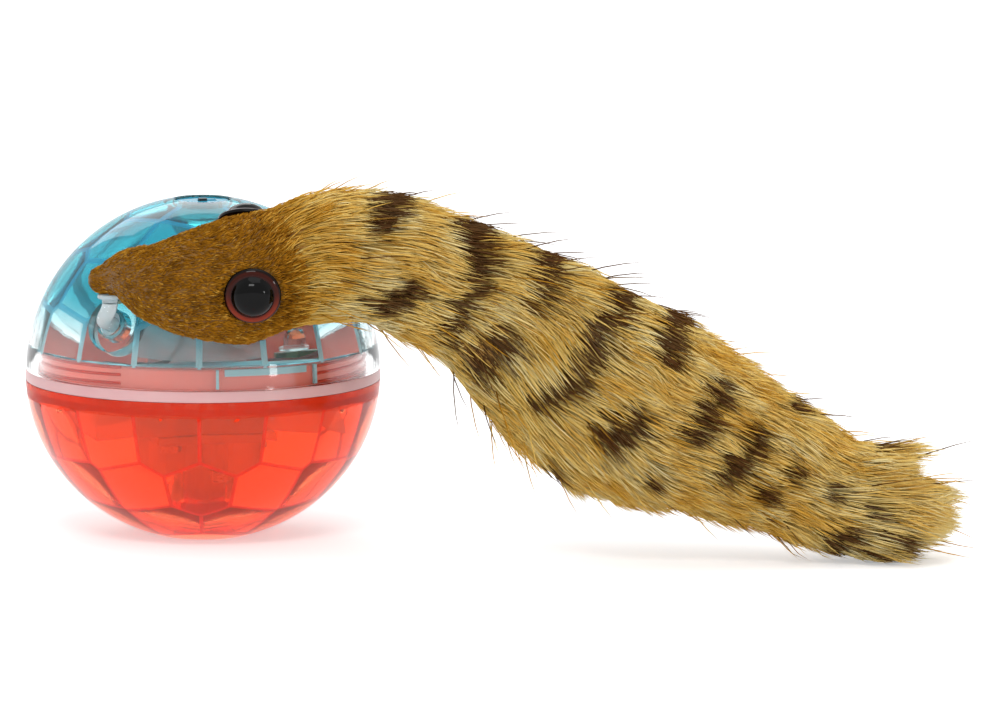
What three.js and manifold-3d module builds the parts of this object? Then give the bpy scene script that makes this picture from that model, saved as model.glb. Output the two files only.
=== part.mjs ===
// Rolling cat toy: a clear ball in two halves with a motor unit inside, and a stuffed weasel
// that is clipped to the ball by its nose. Millimetres, +Z up, +X towards the tail.
// The origin is on the floor, in the middle of the small flat under the ball.
import * as THREE from "three";
import { ConvexGeometry } from "three/addons/geometries/ConvexGeometry.js";
import { mergeVertices } from "three/addons/utils/BufferGeometryUtils.js";
import Module from "manifold-3d";

const wasm = await Module();
wasm.setup();

// Clearances and cutting overrun
const seat = 0.3; // between pieces that touch
const running = 0.3; // round pieces that turn in a bore
const axleRunning = 0.12; // round the thin gear pins
const overrun = 1; // how far a cutter runs past the face that it cuts

// Steps round the turned pieces
const ballSteps = 48;
const ballRows = 9;
const turnSteps = 24;
const smallSteps = 12;

// Ball halves
const ballRadius = 41;
const lowerDepth = 38.9; // centre to the lower pole, before the flat is cut
const restFlatRadius = 11;
const shellWall = 2.4; // at the middle of a facet
const facetWidth = 15.2;
const facetRowPitch = 13.6;
const lowerFirstFacetAngle = 12; // degrees from the pole
const upperFirstFacetAngle = 15;
const lastFacetAngle = 85;

// Seam
const gasketThickness = 2;
const gasketRounding = 0.5;
const skirtWall = 2.1;
const skirtHeight = 5.5;
const threadRoom = 0.9; // between neck and skirt, for the thread ribs
const neckWall = 1.6;
const neckTopGap = 0.8;
const neckLeadIn = 0.5;
const rimDepth = 4;

// Poles: hex drive socket below, journal collar above
const socketBossRadius = 6.6;
const socketBossHeight = 8.5;
const hexSides = 6;
const hexHalfFlat = 3;
const hexEngagement = 6.5;
const collarRadius = 8.5;
const collarDepth = 2.6;
const journalRadius = 6.2;

// Nose clip and its cup in the upper half; the angles give the cup's place on the ball
const clipAzimuth = 236.3;
const clipElevation = 23;
const cupRadius = 6.3;
const cupDepth = 7;
const cupFloor = 1.5;
const lipDepth = 1.7;
const lipHang = 0.8; // how far the lip narrows the bore
const knobRadius = 3.3;
const knobEdge = 0.7;
const stemRadius = 1.8;
const stemReach = 1.6; // straight part of the stem outside the ball
const stemSides = 10;
const stemSteps = 9;
const flangeRadius = 2.8;
const flangeThickness = 1;
const clipStationShare = 0.027; // where the flange lies along the weasel

// Motor unit, measured from the ball's centre and turned about the pole axis
const unitTurn = 12.6;
const cellRadius = 7.25;
const cellLength = 50.5;
const cellNubRadius = 2.7;
const cellNubLength = 1.2;
const cellOffset = 11; // from the pole axis
const trayWall = 1.4;
const trayEdgeDrop = 1.2; // how far the trough's edge stays under the cell's middle
const trayEndRise = 6.3; // of the end walls above the cell's middle
const gripWidth = 5;
const gripPlace = 13;
const gripReach = 38; // degrees above the cell's middle
const contactThickness = 0.5;
const contactHalfHeight = 4.5;
const contactHalfWidth = 3;
const springWire = 0.5;
const springRadius = 5.2;
const springStepIn = 0.95;
const springRise = 0.5;
const springTurns = 2.5;
const springSteps = 8;
const springSides = 5;

// Gears
const gearModule = 0.5;
const pinionTeeth = 8;
const wheelTeeth = 24;
const outputTeeth = 20;
const pressureAngle = 20;
const gearThickness = 1.9;
const gearGap = 0.35;
const toothPlay = 0.16;
const wheelTipShare = 0.5; // tooth height outside the pitch circle, of the module
const pinionTipShare = 0.75;
const rootShare = 1.05;
const gearAxleRadius = 0.75;
const firstGearOffset = 7.4; // of the first gear's pin from the pole axis
const shaftRadius = 2;
const shaftCollarRadius = 3.2;
const shaftCollarLength = 4.05; // between the socket and the bush
const bushWall = 1.2;
const bushFlange = 1;

// Gear case, deck and cover
const caseWall = 1.2;
const caseFloor = 1.2;
const deckThickness = 1.5;
const deckShelfHalf = 14;
const earRadius = 2.6;
const earAngles = [40, 140, 270];
const screwRadius = 0.9;
const screwHeadRadius = 2;
const screwHeadHeight = 1.2;
const trayScrewPlace = 11;
const trayScrewInset = 3;
const trayScrewGrip = 2.6;
const coverRadius = 17;
const coverWall = 1.3;
const coverFlange = 1.4;
const cellHeadroom = 0.9;
const coverRise = 9.4; // of the round wall above the cell
const coverShoulder = 6.5;
const coverBulgeShare = 0.125; // of the way in that the shoulder has come at half its height
const coverCrownShare = 0.875; // of the shoulder's height where it has come half the way in

// Motor
const motorRadius = 10;
const motorFlatHalf = 7.55;
const motorLength = 25;
const motorCapLength = 2.6;
const motorOffset = 6.3;
const motorBossRadius = 3;
const motorBossLength = 1.2;
const motorShaftRadius = 1;
const motorShaftSeat = 3; // how far the shaft runs into the motor
const terminalHalfWidth = 1.1;
const terminalThickness = 0.5;
const terminalHeight = 2.4;
const terminalPlace = 6.2;

// Switch at the upper pole
const poleRecess = 1;
const switchCapThickness = 1.4;
const journalWall = 1.3;
const switchBodyHalfLength = 3.9;
const switchBodyHalfWidth = 1.9;
const switchBodyHeight = 3.6;
const sliderHalf = 0.9;
const sliderTravel = 2;
const sliderStand = 0.5;

// Light board
const boardRoom = 1.6; // between the motor cover and the board
const boardWidth = 10;
const boardHeight = 15;
const boardThickness = 1.2;
const lampRadius = 1.5;
const lampLength = 3.4;
const lampFlange = 0.5;
const lampDomeAngle = 45;
const lampSpacing = 5;

// Wires
const wireRadius = 0.55;
const wireSides = 6;
const wireSteps = 28;
const coilWireSide = 2; // from the cell's axis to where the black wire leaves the coil
const wireBoardShare = 0.33; // along the board's width where the red wire passes it
const wireMotorShare = 0.33; // of the motor's radius where the red wire rises past its top

// Stuffed weasel
const plushLength = 203;
const plushGirth = 46; // thickness of the stuffed form at the belly
const plushStandOff = 1; // how far the body's middle line hangs in front of the ball's face
const plushGap = 0.6; // between the head and the ball
const plushSides = 18;
const plushEndAngles = [30, 60, 80]; // of the rings that round off a form's end
const plushEndShare = 0.5; // how far a form's rounded end stands out, of its radius there
const noseReach = 25.9; // of the nose, from the ball's centre away from the tail
const tailPress = 0.5;
const eyeRadius = 6.5;
const eyeRim = 0.9;
const eyeDome = 3.2;
const eyeDomeAngle = 30; // where the dome's first edge stands
const eyeCrownShare = 0.875; // height of the dome's last edge
const eyeSink = 1.7; // of the eye's back face under the skin
const eyeShankRadius = 1.8;
const eyeShankLength = 6.5;
const eyeWasherRadius = 4.4;
const eyeWasherThickness = 1;
const eyeWasherSeat = 4.6; // from the eye's back face to the washer
const nearEyeAngle = -11; // degrees above the way straight out from the ball
const farEyeAngle = 118;
const nearEyeShare = 0.19; // where the eyes lie along the weasel
const farEyeShare = 0.181;

const degrees = Math.PI / 180;
const upright = new THREE.Vector3(0, 0, 1);

// Worked out from the sizes above, in the ball's frame: z is measured from its centre
const centreHeight = lowerDepth * Math.sqrt(1 - (restFlatRadius / ballRadius) ** 2);
const innerRadius = ballRadius - shellWall;
const innerDepth = lowerDepth - shellWall;
const lowerRim = -gasketThickness / 2 - seat;
const upperRim = gasketThickness / 2 + seat;
const shoulder = upperRim + skirtHeight;
const skirtBore = ballRadius - skirtWall;
const neckOuter = skirtBore - threadRoom;
const neckInner = neckOuter - neckWall;
const neckTop = shoulder - neckTopGap;

// A closed three.js geometry as a solid that can be joined and cut
function solid(geometry, matrix) {
  const loose = geometry.index ? geometry.toNonIndexed() : geometry;
  const bare = new THREE.BufferGeometry();
  bare.setAttribute("position", loose.getAttribute("position").clone());
  if (matrix) bare.applyMatrix4(matrix);
  const merged = mergeVertices(bare);
  const triVerts = new Uint32Array(merged.index.array);
  const vertProperties = merged.getAttribute("position").array;
  const made = new wasm.Manifold(new wasm.Mesh({ numProp: 3, vertProperties, triVerts }));
  if (made.volume() > 0) return made;
  // A profile that runs the other way round gives faces that point in, so they are turned.
  for (let i = 0; i < triVerts.length; i += 3) {
    const second = triVerts[i + 1];
    triVerts[i + 1] = triVerts[i + 2];
    triVerts[i + 2] = second;
  }
  return new wasm.Manifold(new wasm.Mesh({ numProp: 3, vertProperties, triVerts }));
}

// The solid's surface as a three.js geometry
function geometryOf(body) {
  const mesh = body.getMesh();
  const geometry = new THREE.BufferGeometry();
  geometry.setAttribute("position", new THREE.BufferAttribute(mesh.vertProperties, mesh.numProp));
  geometry.setIndex(new THREE.BufferAttribute(mesh.triVerts, 1));
  geometry.computeVertexNormals();
  return geometry;
}

// A profile of [radius, height] points turned about Z
function turned(profile, steps = turnSteps, matrix) {
  const points = profile.map(([radius, height]) => new THREE.Vector2(radius, height));
  return solid(new THREE.LatheGeometry(points, steps).rotateX(90 * degrees), matrix);
}

function disc(radius, low, high, steps, matrix) {
  return turned([[0, low], [radius, low], [radius, high], [0, high]], steps, matrix);
}

function ring(inner, outer, low, high, steps, matrix) {
  const profile = [[inner, low], [outer, low], [outer, high], [inner, high], [inner, low]];
  return turned(profile, steps, matrix);
}

function block(x, y, z, matrix) {
  const geometry = new THREE.BoxGeometry(x[1] - x[0], y[1] - y[0], z[1] - z[0]);
  geometry.translate((x[0] + x[1]) / 2, (y[0] + y[1]) / 2, (z[0] + z[1]) / 2);
  return solid(geometry, matrix);
}

// A flat shape raised from one height to another
function raised(shape, low, high, matrix) {
  const geometry = new THREE.ExtrudeGeometry(shape, { depth: high - low, bevelEnabled: false });
  geometry.translate(0, 0, low);
  return solid(geometry, matrix);
}

function polygon(radius, sides) {
  const corners = [];
  for (let i = 0; i < sides; i += 1) {
    const angle = ((i + 0.5) * 360 * degrees) / sides;
    corners.push(new THREE.Vector2(radius * Math.cos(angle), radius * Math.sin(angle)));
  }
  return new THREE.Shape(corners);
}

function tube(points, radius, sides, steps) {
  const curve = new THREE.CatmullRomCurve3(points);
  const options = { steps, extrudePath: curve, bevelEnabled: false };
  return solid(new THREE.ExtrudeGeometry(polygon(radius, sides), options));
}

function place(x, y, z) {
  return new THREE.Matrix4().makeTranslation(x, y, z);
}

// Stands a piece that was turned about Z along another way, from a given point
function along(way, start) {
  const turn = new THREE.Quaternion().setFromUnitVectors(upright, way.clone().normalize());
  return new THREE.Matrix4().compose(start, turn, new THREE.Vector3(1, 1, 1));
}

// Where two circles in the plane meet, on the left of the way from the first to the second
function meeting(first, firstRadius, second, secondRadius) {
  const across = second.clone().sub(first);
  const apart = across.length();
  const reach = (firstRadius ** 2 - secondRadius ** 2 + apart ** 2) / (2 * apart);
  const off = Math.sqrt(firstRadius ** 2 - reach ** 2);
  const way = across.normalize();
  return new THREE.Vector2(
    first.x + way.x * reach - way.y * off,
    first.y + way.y * reach + way.x * off,
  );
}

const finish = {
  clearBlue: { color: 0x4fb8cc, roughness: 0.08, metalness: 0, transparent: true, opacity: 0.45 },
  clearRed: { color: 0xff5233, roughness: 0.08, metalness: 0, transparent: true, opacity: 0.55 },
  paleSeal: { color: 0xe8b4ba, roughness: 0.4, metalness: 0, transparent: true, opacity: 0.8 },
  clearGrey: { color: 0xc9d0d2, roughness: 0.12, metalness: 0, transparent: true, opacity: 0.5 },
  whiteGear: { color: 0xeceae2, roughness: 0.45, metalness: 0 },
  steel: { color: 0xb9bcc0, roughness: 0.3, metalness: 1 },
  nickel: { color: 0xd2cfc6, roughness: 0.22, metalness: 1 },
  brass: { color: 0xc9a24c, roughness: 0.32, metalness: 1 },
  cellJacket: { color: 0x2b2d30, roughness: 0.35, metalness: 0.4 },
  blackPlastic: { color: 0x1d1e20, roughness: 0.5, metalness: 0 },
  greenBoard: { color: 0x2f7d4d, roughness: 0.45, metalness: 0 },
  clearLamp: { color: 0xdfe9ee, roughness: 0.1, metalness: 0, transparent: true, opacity: 0.6 },
  redWire: { color: 0xc0261c, roughness: 0.5, metalness: 0 },
  blackWire: { color: 0x202124, roughness: 0.5, metalness: 0 },
  velour: { color: 0x9c6b18, roughness: 0.95, metalness: 0 },
  fur: { color: 0xb98f45, roughness: 1, metalness: 0 },
  amber: { color: 0x6b2414, roughness: 0.1, metalness: 0 },
  whitePlastic: { color: 0xe6e7e3, roughness: 0.35, metalness: 0 },
};

function add(group, name, body, look) {
  const mesh = new THREE.Mesh(geometryOf(body), new THREE.MeshStandardMaterial(finish[look]));
  mesh.name = name;
  group.add(mesh);
}

const toy = new THREE.Group();
const ball = new THREE.Group();
ball.position.z = centreHeight;
const unit = new THREE.Group();
unit.rotation.z = unitTurn * degrees;
toy.add(ball);
ball.add(unit);

// The faceted hollow of the ball: flat facets in rows round the pole, each square to the ball's
// radius at its middle. A corner is where the planes of three neighbouring facets meet.
function facetedHollow(firstAngle, depth) {
  const rowStep = facetRowPitch / innerRadius / degrees;
  const ways = [];
  for (let angle = firstAngle, row = 0; angle < lastFacetAngle; angle += rowStep, row += 1) {
    const girth = 2 * Math.PI * innerRadius * Math.sin(angle * degrees);
    const count = Math.ceil(girth / facetWidth);
    for (let i = 0; i < count; i += 1) {
      const azimuth = ((i + (row % 2) / 2) * 360) / count - 90;
      const out = Math.sin(angle * degrees);
      const up = Math.cos(angle * degrees);
      const x = out * Math.cos(azimuth * degrees);
      const y = out * Math.sin(azimuth * degrees);
      ways.push(new THREE.Vector3(x, y, up), new THREE.Vector3(x, y, -up));
    }
  }
  const hull = new ConvexGeometry(ways).getAttribute("position");
  const corners = [];
  for (let i = 0; i < hull.count; i += 3) {
    const [a, b, c] = [0, 1, 2].map((k) => new THREE.Vector3().fromBufferAttribute(hull, i + k));
    const bc = b.clone().cross(c);
    const corner = a.clone().cross(b).add(bc).add(c.clone().cross(a)).divideScalar(a.dot(bc));
    corner.multiply(new THREE.Vector3(innerRadius, innerRadius, depth));
    if (corners.every((other) => other.distanceTo(corner) > seat)) corners.push(corner);
  }
  return solid(new ConvexGeometry(corners));
}

// Half of the ball's outside as [radius, height] points, from one height to another
function ballArc(depth, fromHeight, toHeight) {
  const arc = [];
  const start = Math.asin(fromHeight / depth);
  const end = Math.asin(toHeight / depth);
  for (let i = 0; i <= ballRows; i += 1) {
    const angle = start + ((end - start) * i) / ballRows;
    arc.push([ballRadius * Math.cos(angle), depth * Math.sin(angle)]);
  }
  return arc;
}

// Lower half: clear red shell, thick rim and neck, hex socket for the output shaft
const socketTop = -innerDepth + socketBossHeight;
const hexSeatTop = socketTop - hexEngagement;
function hexagon(halfFlat) {
  return polygon(halfFlat / Math.cos((180 / hexSides) * degrees), hexSides);
}
const lowerArc = ballArc(lowerDepth, -centreHeight, lowerRim);
const lowerOutside = turned([[0, -centreHeight], ...lowerArc, [0, lowerRim]], ballSteps);
const rim = turned(
  [
    [neckInner, lowerRim - rimDepth / 2],
    [ballRadius, lowerRim - rimDepth],
    [ballRadius, lowerRim],
    [neckInner, lowerRim],
    [neckInner, lowerRim - rimDepth / 2],
  ],
  ballSteps,
);
const lowerNeck = turned(
  [
    [neckInner, lowerRim - rimDepth / 2],
    [neckOuter, lowerRim - rimDepth / 2],
    [neckOuter, neckTop - neckLeadIn],
    [neckOuter - neckLeadIn, neckTop],
    [neckInner, neckTop],
    [neckInner, lowerRim - rimDepth / 2],
  ],
  ballSteps,
);
const socketBoss = disc(socketBossRadius, -centreHeight, socketTop);
const lowerShell = lowerOutside
  .subtract(facetedHollow(lowerFirstFacetAngle, innerDepth))
  .add(rim.intersect(lowerOutside))
  .add(lowerNeck)
  .add(socketBoss)
  .subtract(raised(hexagon(hexHalfFlat + running), hexSeatTop - seat, socketTop + overrun));
add(ball, "lower_shell", lowerShell, "clearRed");

// Seam gasket: a soft pale ring between the two rims
const gasketInner = neckOuter + seat;
const gasketHalf = gasketThickness / 2;
const gasket = turned(
  [
    [gasketInner, -gasketHalf],
    [ballRadius - gasketRounding, -gasketHalf],
    [ballRadius, -gasketHalf + gasketRounding],
    [ballRadius, gasketHalf - gasketRounding],
    [ballRadius - gasketRounding, gasketHalf],
    [gasketInner, gasketHalf],
    [gasketInner, -gasketHalf],
  ],
  ballSteps,
);
add(ball, "seam_gasket", gasket, "paleSeal");

// Upper half: clear blue shell with a thin skirt, a collar for the journal and the clip's cup
const clipWay = new THREE.Vector3(
  Math.cos(clipAzimuth * degrees) * Math.cos(clipElevation * degrees),
  Math.sin(clipAzimuth * degrees) * Math.cos(clipElevation * degrees),
  Math.sin(clipElevation * degrees),
);
const clipAxis = along(clipWay, new THREE.Vector3());
const cupBore = knobRadius + running;
const cupBack = ballRadius - cupDepth;
const collarBore = journalRadius + running;
const upperOutside = turned(
  [[0, upperRim], ...ballArc(ballRadius, upperRim, ballRadius)],
  ballSteps,
);
const belowShoulder = block(
  [-ballRadius, ballRadius],
  [-ballRadius, ballRadius],
  [-ballRadius, shoulder],
);
const upperHollow = facetedHollow(upperFirstFacetAngle, innerRadius)
  .subtract(belowShoulder)
  .add(disc(skirtBore, upperRim - overrun, shoulder, ballSteps));
const collar = disc(collarRadius, innerRadius - collarDepth, ballRadius);
const cup = disc(cupRadius, cupBack, ballRadius, turnSteps, clipAxis);
const cupHole = turned(
  [
    [0, cupBack + cupFloor],
    [cupBore, cupBack + cupFloor],
    [cupBore, ballRadius - lipDepth],
    [cupBore - lipHang, ballRadius - lipDepth],
    [cupBore - lipHang, ballRadius - lipDepth / 2],
    [cupBore, ballRadius + overrun],
    [0, ballRadius + overrun],
  ],
  turnSteps,
  clipAxis,
);
const upperShell = upperOutside
  .subtract(upperHollow)
  .add(collar.add(cup).intersect(upperOutside))
  .subtract(disc(collarBore, 0, ballRadius + overrun))
  .subtract(cupHole);
add(ball, "upper_shell", upperShell, "clearBlue");

// Heights of the unit's layers, from the output shaft's collar on the socket up to the cell
const gearLayers = 3;
const shaftCollarTop = socketTop + seat + shaftCollarLength;
const bushBottom = shaftCollarTop + seat;
const floorBottom = bushBottom + bushFlange + seat;
const floorTop = floorBottom + caseFloor;
const deckBottom = floorTop + gearGap + gearLayers * (gearThickness + gearGap);
const deckTop = deckBottom + deckThickness;
function layerTop(layer) {
  return deckBottom - gearGap - layer * (gearThickness + gearGap);
}
const troughRadius = cellRadius + seat;
const trayBottom = deckTop + seat;
const cellDrop = -(trayBottom + trayWall + troughRadius);

// Tray: a trough for the cell with end walls and two pairs of gripping arms
const contactRoom = seat + contactThickness + seat;
const springLength = springRise * springTurns + springWire;
const springRoom = seat + springLength + seat;
const bayHalf = (cellLength + contactRoom + springRoom) / 2;
const trayHalf = bayHalf + trayWall;
const trayHalfWidth = troughRadius + trayWall;
const trayEdge = -cellDrop - trayEdgeDrop;
const cellLine = new THREE.Vector3(-trayHalf, -cellOffset, -cellDrop);
const cellWay = along(new THREE.Vector3(1, 0, 0), cellLine);
function gripAt(middle) {
  const reach = gripReach * degrees;
  const shape = new THREE.Shape();
  shape.absarc(0, 0, troughRadius + trayWall, reach, -Math.PI - reach, true);
  shape.absarc(0, 0, troughRadius, -Math.PI - reach, reach, false);
  const stand = new THREE.Matrix4().makeRotationX(90 * degrees);
  const across = new THREE.Matrix4().makeRotationZ(90 * degrees);
  const put = place(middle - gripWidth / 2, -cellOffset, -cellDrop).multiply(across).multiply(stand);
  return raised(shape, 0, gripWidth, put);
}
const trayOuter = block(
  [-trayHalf, trayHalf],
  [-cellOffset - trayHalfWidth, -cellOffset + trayHalfWidth],
  [trayBottom, trayEdge],
);
const trayEndHigh = -cellDrop + trayEndRise;
function trayEnd(side) {
  return block(
    [Math.min(side * bayHalf, side * trayHalf), Math.max(side * bayHalf, side * trayHalf)],
    [-cellOffset - troughRadius, -cellOffset + troughRadius],
    [trayBottom, trayEndHigh],
  );
}
const trough = disc(troughRadius, trayWall, trayWall + 2 * bayHalf, turnSteps, cellWay);
const trayScrewBack = -cellOffset - trayHalfWidth + trayScrewInset;
const trayScrewTop = trayBottom + trayScrewGrip;
function trayScrewHole(side) {
  const low = deckBottom - overrun;
  const at = place(side * trayScrewPlace, trayScrewBack, 0);
  return disc(screwRadius + seat, low, trayScrewTop + seat, smallSteps, at);
}
const tray = trayOuter
  .add(gripAt(-gripPlace))
  .add(gripAt(gripPlace))
  .subtract(trough)
  .add(trayEnd(-1))
  .add(trayEnd(1))
  .subtract(trayScrewHole(-1))
  .subtract(trayScrewHole(1));
add(unit, "battery_tray", tray, "clearGrey");

// Cell with its nub towards the plate contact
const cellStart = trayWall + springRoom;
const cell = turned(
  [
    [0, cellStart],
    [cellRadius, cellStart],
    [cellRadius, cellStart + cellLength - cellNubLength],
    [cellNubRadius, cellStart + cellLength - cellNubLength],
    [cellNubRadius, cellStart + cellLength],
    [0, cellStart + cellLength],
  ],
  turnSteps,
  cellWay,
);
add(unit, "battery_cell", cell, "cellJacket");

// Plate contact at the nub, coil contact at the other end
const plateOutside = bayHalf - seat;
const plateContact = block(
  [plateOutside - contactThickness, plateOutside],
  [-cellOffset - contactHalfWidth, -cellOffset + contactHalfWidth],
  [-cellDrop - contactHalfHeight, -cellDrop + contactHalfHeight],
);
add(unit, "plate_contact", plateContact, "nickel");

// The coil winds inwards as it rises from the wall to the cell.
const coilPoints = [];
const coilCount = Math.round(springTurns * springSteps);
const coilStart = -bayHalf + seat + springWire / 2;
for (let i = 0; i <= coilCount; i += 1) {
  const turns = i / springSteps;
  const radius = springRadius - springStepIn * turns;
  const angle = turns * 360 * degrees;
  coilPoints.push(
    new THREE.Vector3(
      coilStart + springRise * turns,
      -cellOffset + radius * Math.cos(angle),
      -cellDrop + radius * Math.sin(angle),
    ),
  );
}
let coilGap = Infinity;
coilPoints.forEach((point, i) => {
  coilPoints.slice(i + springSteps - 1).forEach((other) => {
    coilGap = Math.min(coilGap, point.distanceTo(other) - springWire);
  });
});
console.log("coil contact: least gap between turns", coilGap.toFixed(2), "mm");
const coilContact = tube(coilPoints, springWire / 2, springSides, coilCount);
add(unit, "coil_contact", coilContact, "nickel");

// Gear train: motor pinion, two compound gears side by side, output gear on the pole axis
const pinionPitch = (gearModule * pinionTeeth) / 2;
const wheelPitch = (gearModule * wheelTeeth) / 2;
const outputPitch = (gearModule * outputTeeth) / 2;
const stageDistance = pinionPitch + wheelPitch;
const outputAxis = new THREE.Vector2(0, 0);
const motorAxis = new THREE.Vector2(0, motorOffset);
const firstAxis = meeting(outputAxis, firstGearOffset, motorAxis, stageDistance);
const secondAxis = meeting(outputAxis, pinionPitch + outputPitch, firstAxis, stageDistance);

// Tooth outline: straight flanks that lie inside the involute, drawn from root to tip
function toothedShape(teeth, tipShare, tooth, boreRadius) {
  const pitch = (gearModule * teeth) / 2;
  const base = pitch * Math.cos(pressureAngle * degrees);
  const tip = pitch + tipShare * gearModule;
  const root = pitch - rootShare * gearModule;
  const involute = (radius) => {
    const angle = Math.acos(Math.min(1, base / radius));
    return Math.tan(angle) - angle;
  };
  const halfAtPitch = (Math.PI * pitch) / teeth / 2 / pitch - toothPlay / 2 / pitch;
  const halfAt = (radius) => halfAtPitch + involute(pitch) - involute(Math.max(radius, base));
  const flankStart = Math.max(base, root);
  const flank = [
    [root, -halfAt(flankStart)],
    [flankStart, -halfAt(flankStart)],
    [tip, -halfAt(tip)],
    [tip, halfAt(tip)],
    [flankStart, halfAt(flankStart)],
    [root, halfAt(flankStart)],
  ];
  const points = [];
  for (let i = 0; i < teeth; i += 1) {
    const middle = tooth + (i * 2 * Math.PI) / teeth;
    flank.forEach(([radius, off], k) => {
      const same = k > 0 && radius === flank[k - 1][0] && off === flank[k - 1][1];
      if (same) return;
      const angle = middle + off;
      points.push(new THREE.Vector2(radius * Math.cos(angle), radius * Math.sin(angle)));
    });
  }
  const shape = new THREE.Shape(points);
  if (boreRadius) {
    shape.holes.push(new THREE.Path(polygon(boreRadius, smallSteps).getPoints()));
  }
  return shape;
}
function towards(from, to) {
  return Math.atan2(to.y - from.y, to.x - from.x);
}
// The angle of a tooth that stands opposite a gap, seen back from the gear that it meshes with
function meshed(from, to, teeth) {
  return towards(from, to) + Math.PI + Math.PI / teeth;
}
const pinBore = gearAxleRadius + axleRunning;
function compoundGear(layer, axis, previous, next) {
  const wheel = toothedShape(wheelTeeth, wheelTipShare, meshed(previous, axis, wheelTeeth), pinBore);
  const pinion = toothedShape(pinionTeeth, pinionTipShare, towards(axis, next), pinBore);
  const at = place(axis.x, axis.y, 0);
  const low = layerTop(layer) - gearThickness;
  const pinionLow = layerTop(layer + 1) - gearThickness;
  const wheelBody = raised(wheel, low, layerTop(layer), at);
  return wheelBody.add(raised(pinion, pinionLow, low + gearThickness / 2, at));
}
const firstGear = compoundGear(0, firstAxis, motorAxis, secondAxis);
const secondGear = compoundGear(1, secondAxis, firstAxis, outputAxis);
add(unit, "first_gear", firstGear, "whiteGear");
add(unit, "second_gear", secondGear, "whiteGear");

const shaftBore = shaftRadius + seat;
const outputTooth = meshed(secondAxis, outputAxis, outputTeeth);
const outputShape = toothedShape(outputTeeth, wheelTipShare, outputTooth, shaftBore);
const outputGear = raised(outputShape, layerTop(2) - gearThickness, layerTop(2));
add(unit, "output_gear", outputGear, "whiteGear");

const motorPinionBore = motorShaftRadius + seat;
const motorPinionShape = toothedShape(
  pinionTeeth,
  pinionTipShare,
  towards(motorAxis, firstAxis),
  motorPinionBore,
);
const motorAt = place(motorAxis.x, motorAxis.y, 0);
const motorPinion = raised(motorPinionShape, layerTop(0) - gearThickness, layerTop(0), motorAt);
add(unit, "motor_pinion", motorPinion, "brass");

// Output shaft: round in the bush, with a collar under it, and hexagonal in the lower socket
const outputShaft = disc(shaftRadius, shaftCollarTop, layerTop(2))
  .add(disc(shaftCollarRadius, socketTop + seat, shaftCollarTop))
  .add(raised(hexagon(hexHalfFlat), hexSeatTop, socketTop + 2 * seat));
add(unit, "output_shaft", outputShaft, "whiteGear");

// Gear case: a round cup with ears for the screws
const wheelTip = wheelPitch + wheelTipShare * gearModule;
const caseInner = Math.max(firstAxis.length(), secondAxis.length()) + wheelTip + gearGap;
const caseOuter = caseInner + caseWall;
const earDistance = caseOuter + screwRadius + seat;
function ear(angle, radius, low, high, steps) {
  const x = earDistance * Math.cos(angle * degrees);
  const y = earDistance * Math.sin(angle * degrees);
  return disc(radius, low, high, steps, place(x, y, 0));
}
const bushOuter = shaftRadius + running + bushWall;
const caseHoleRadius = bushOuter + seat;
let gearCase = disc(caseOuter, floorBottom, deckBottom - seat);
earAngles.forEach((angle) => {
  gearCase = gearCase.add(ear(angle, earRadius, floorBottom, deckBottom - seat, smallSteps));
});
gearCase = gearCase
  .subtract(disc(caseInner, floorTop, deckBottom))
  .subtract(disc(caseHoleRadius, floorBottom - overrun, floorTop + overrun));
earAngles.forEach((angle) => {
  const low = floorBottom - overrun;
  gearCase = gearCase.subtract(ear(angle, screwRadius + seat, low, deckBottom, smallSteps));
});
function pinHoles(low, high) {
  const radius = gearAxleRadius + axleRunning;
  const first = disc(radius, low, high, smallSteps, place(firstAxis.x, firstAxis.y, 0));
  return first.add(disc(radius, low, high, smallSteps, place(secondAxis.x, secondAxis.y, 0)));
}
gearCase = gearCase.subtract(pinHoles(floorBottom - overrun, floorTop + overrun));
add(unit, "gear_case", gearCase, "clearGrey");

const bush = ring(shaftRadius + running, bushOuter, bushBottom, floorTop).add(
  ring(shaftRadius + running, bushOuter + bushWall, bushBottom, bushBottom + bushFlange),
);
add(unit, "output_bush", bush, "brass");

[["first_pin", firstAxis], ["second_pin", secondAxis]].forEach(([name, axis]) => {
  const pin = disc(gearAxleRadius, floorBottom, deckTop, smallSteps, place(axis.x, axis.y, 0));
  add(unit, name, pin, "steel");
});

// Deck plate: lid of the gear case and floor of the motor and the tray
const shelf = block(
  [-deckShelfHalf, deckShelfHalf],
  [-cellOffset - trayHalfWidth, 0],
  [deckBottom, deckTop],
);
let deck = disc(caseOuter, deckBottom, deckTop).add(shelf);
earAngles.forEach((angle) => {
  deck = deck.add(ear(angle, earRadius, deckBottom, deckTop, smallSteps));
});
const bossHole = motorBossRadius + seat;
deck = deck
  .subtract(disc(bossHole, deckBottom - overrun, deckTop + overrun, turnSteps, motorAt))
  .subtract(pinHoles(deckBottom - overrun, deckTop + overrun))
  .subtract(trayScrewHole(-1))
  .subtract(trayScrewHole(1));
earAngles.forEach((angle) => {
  const low = deckBottom - overrun;
  deck = deck.subtract(ear(angle, screwRadius + seat, low, deckTop + overrun, smallSteps));
});
add(unit, "deck_plate", deck, "clearGrey");

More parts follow.
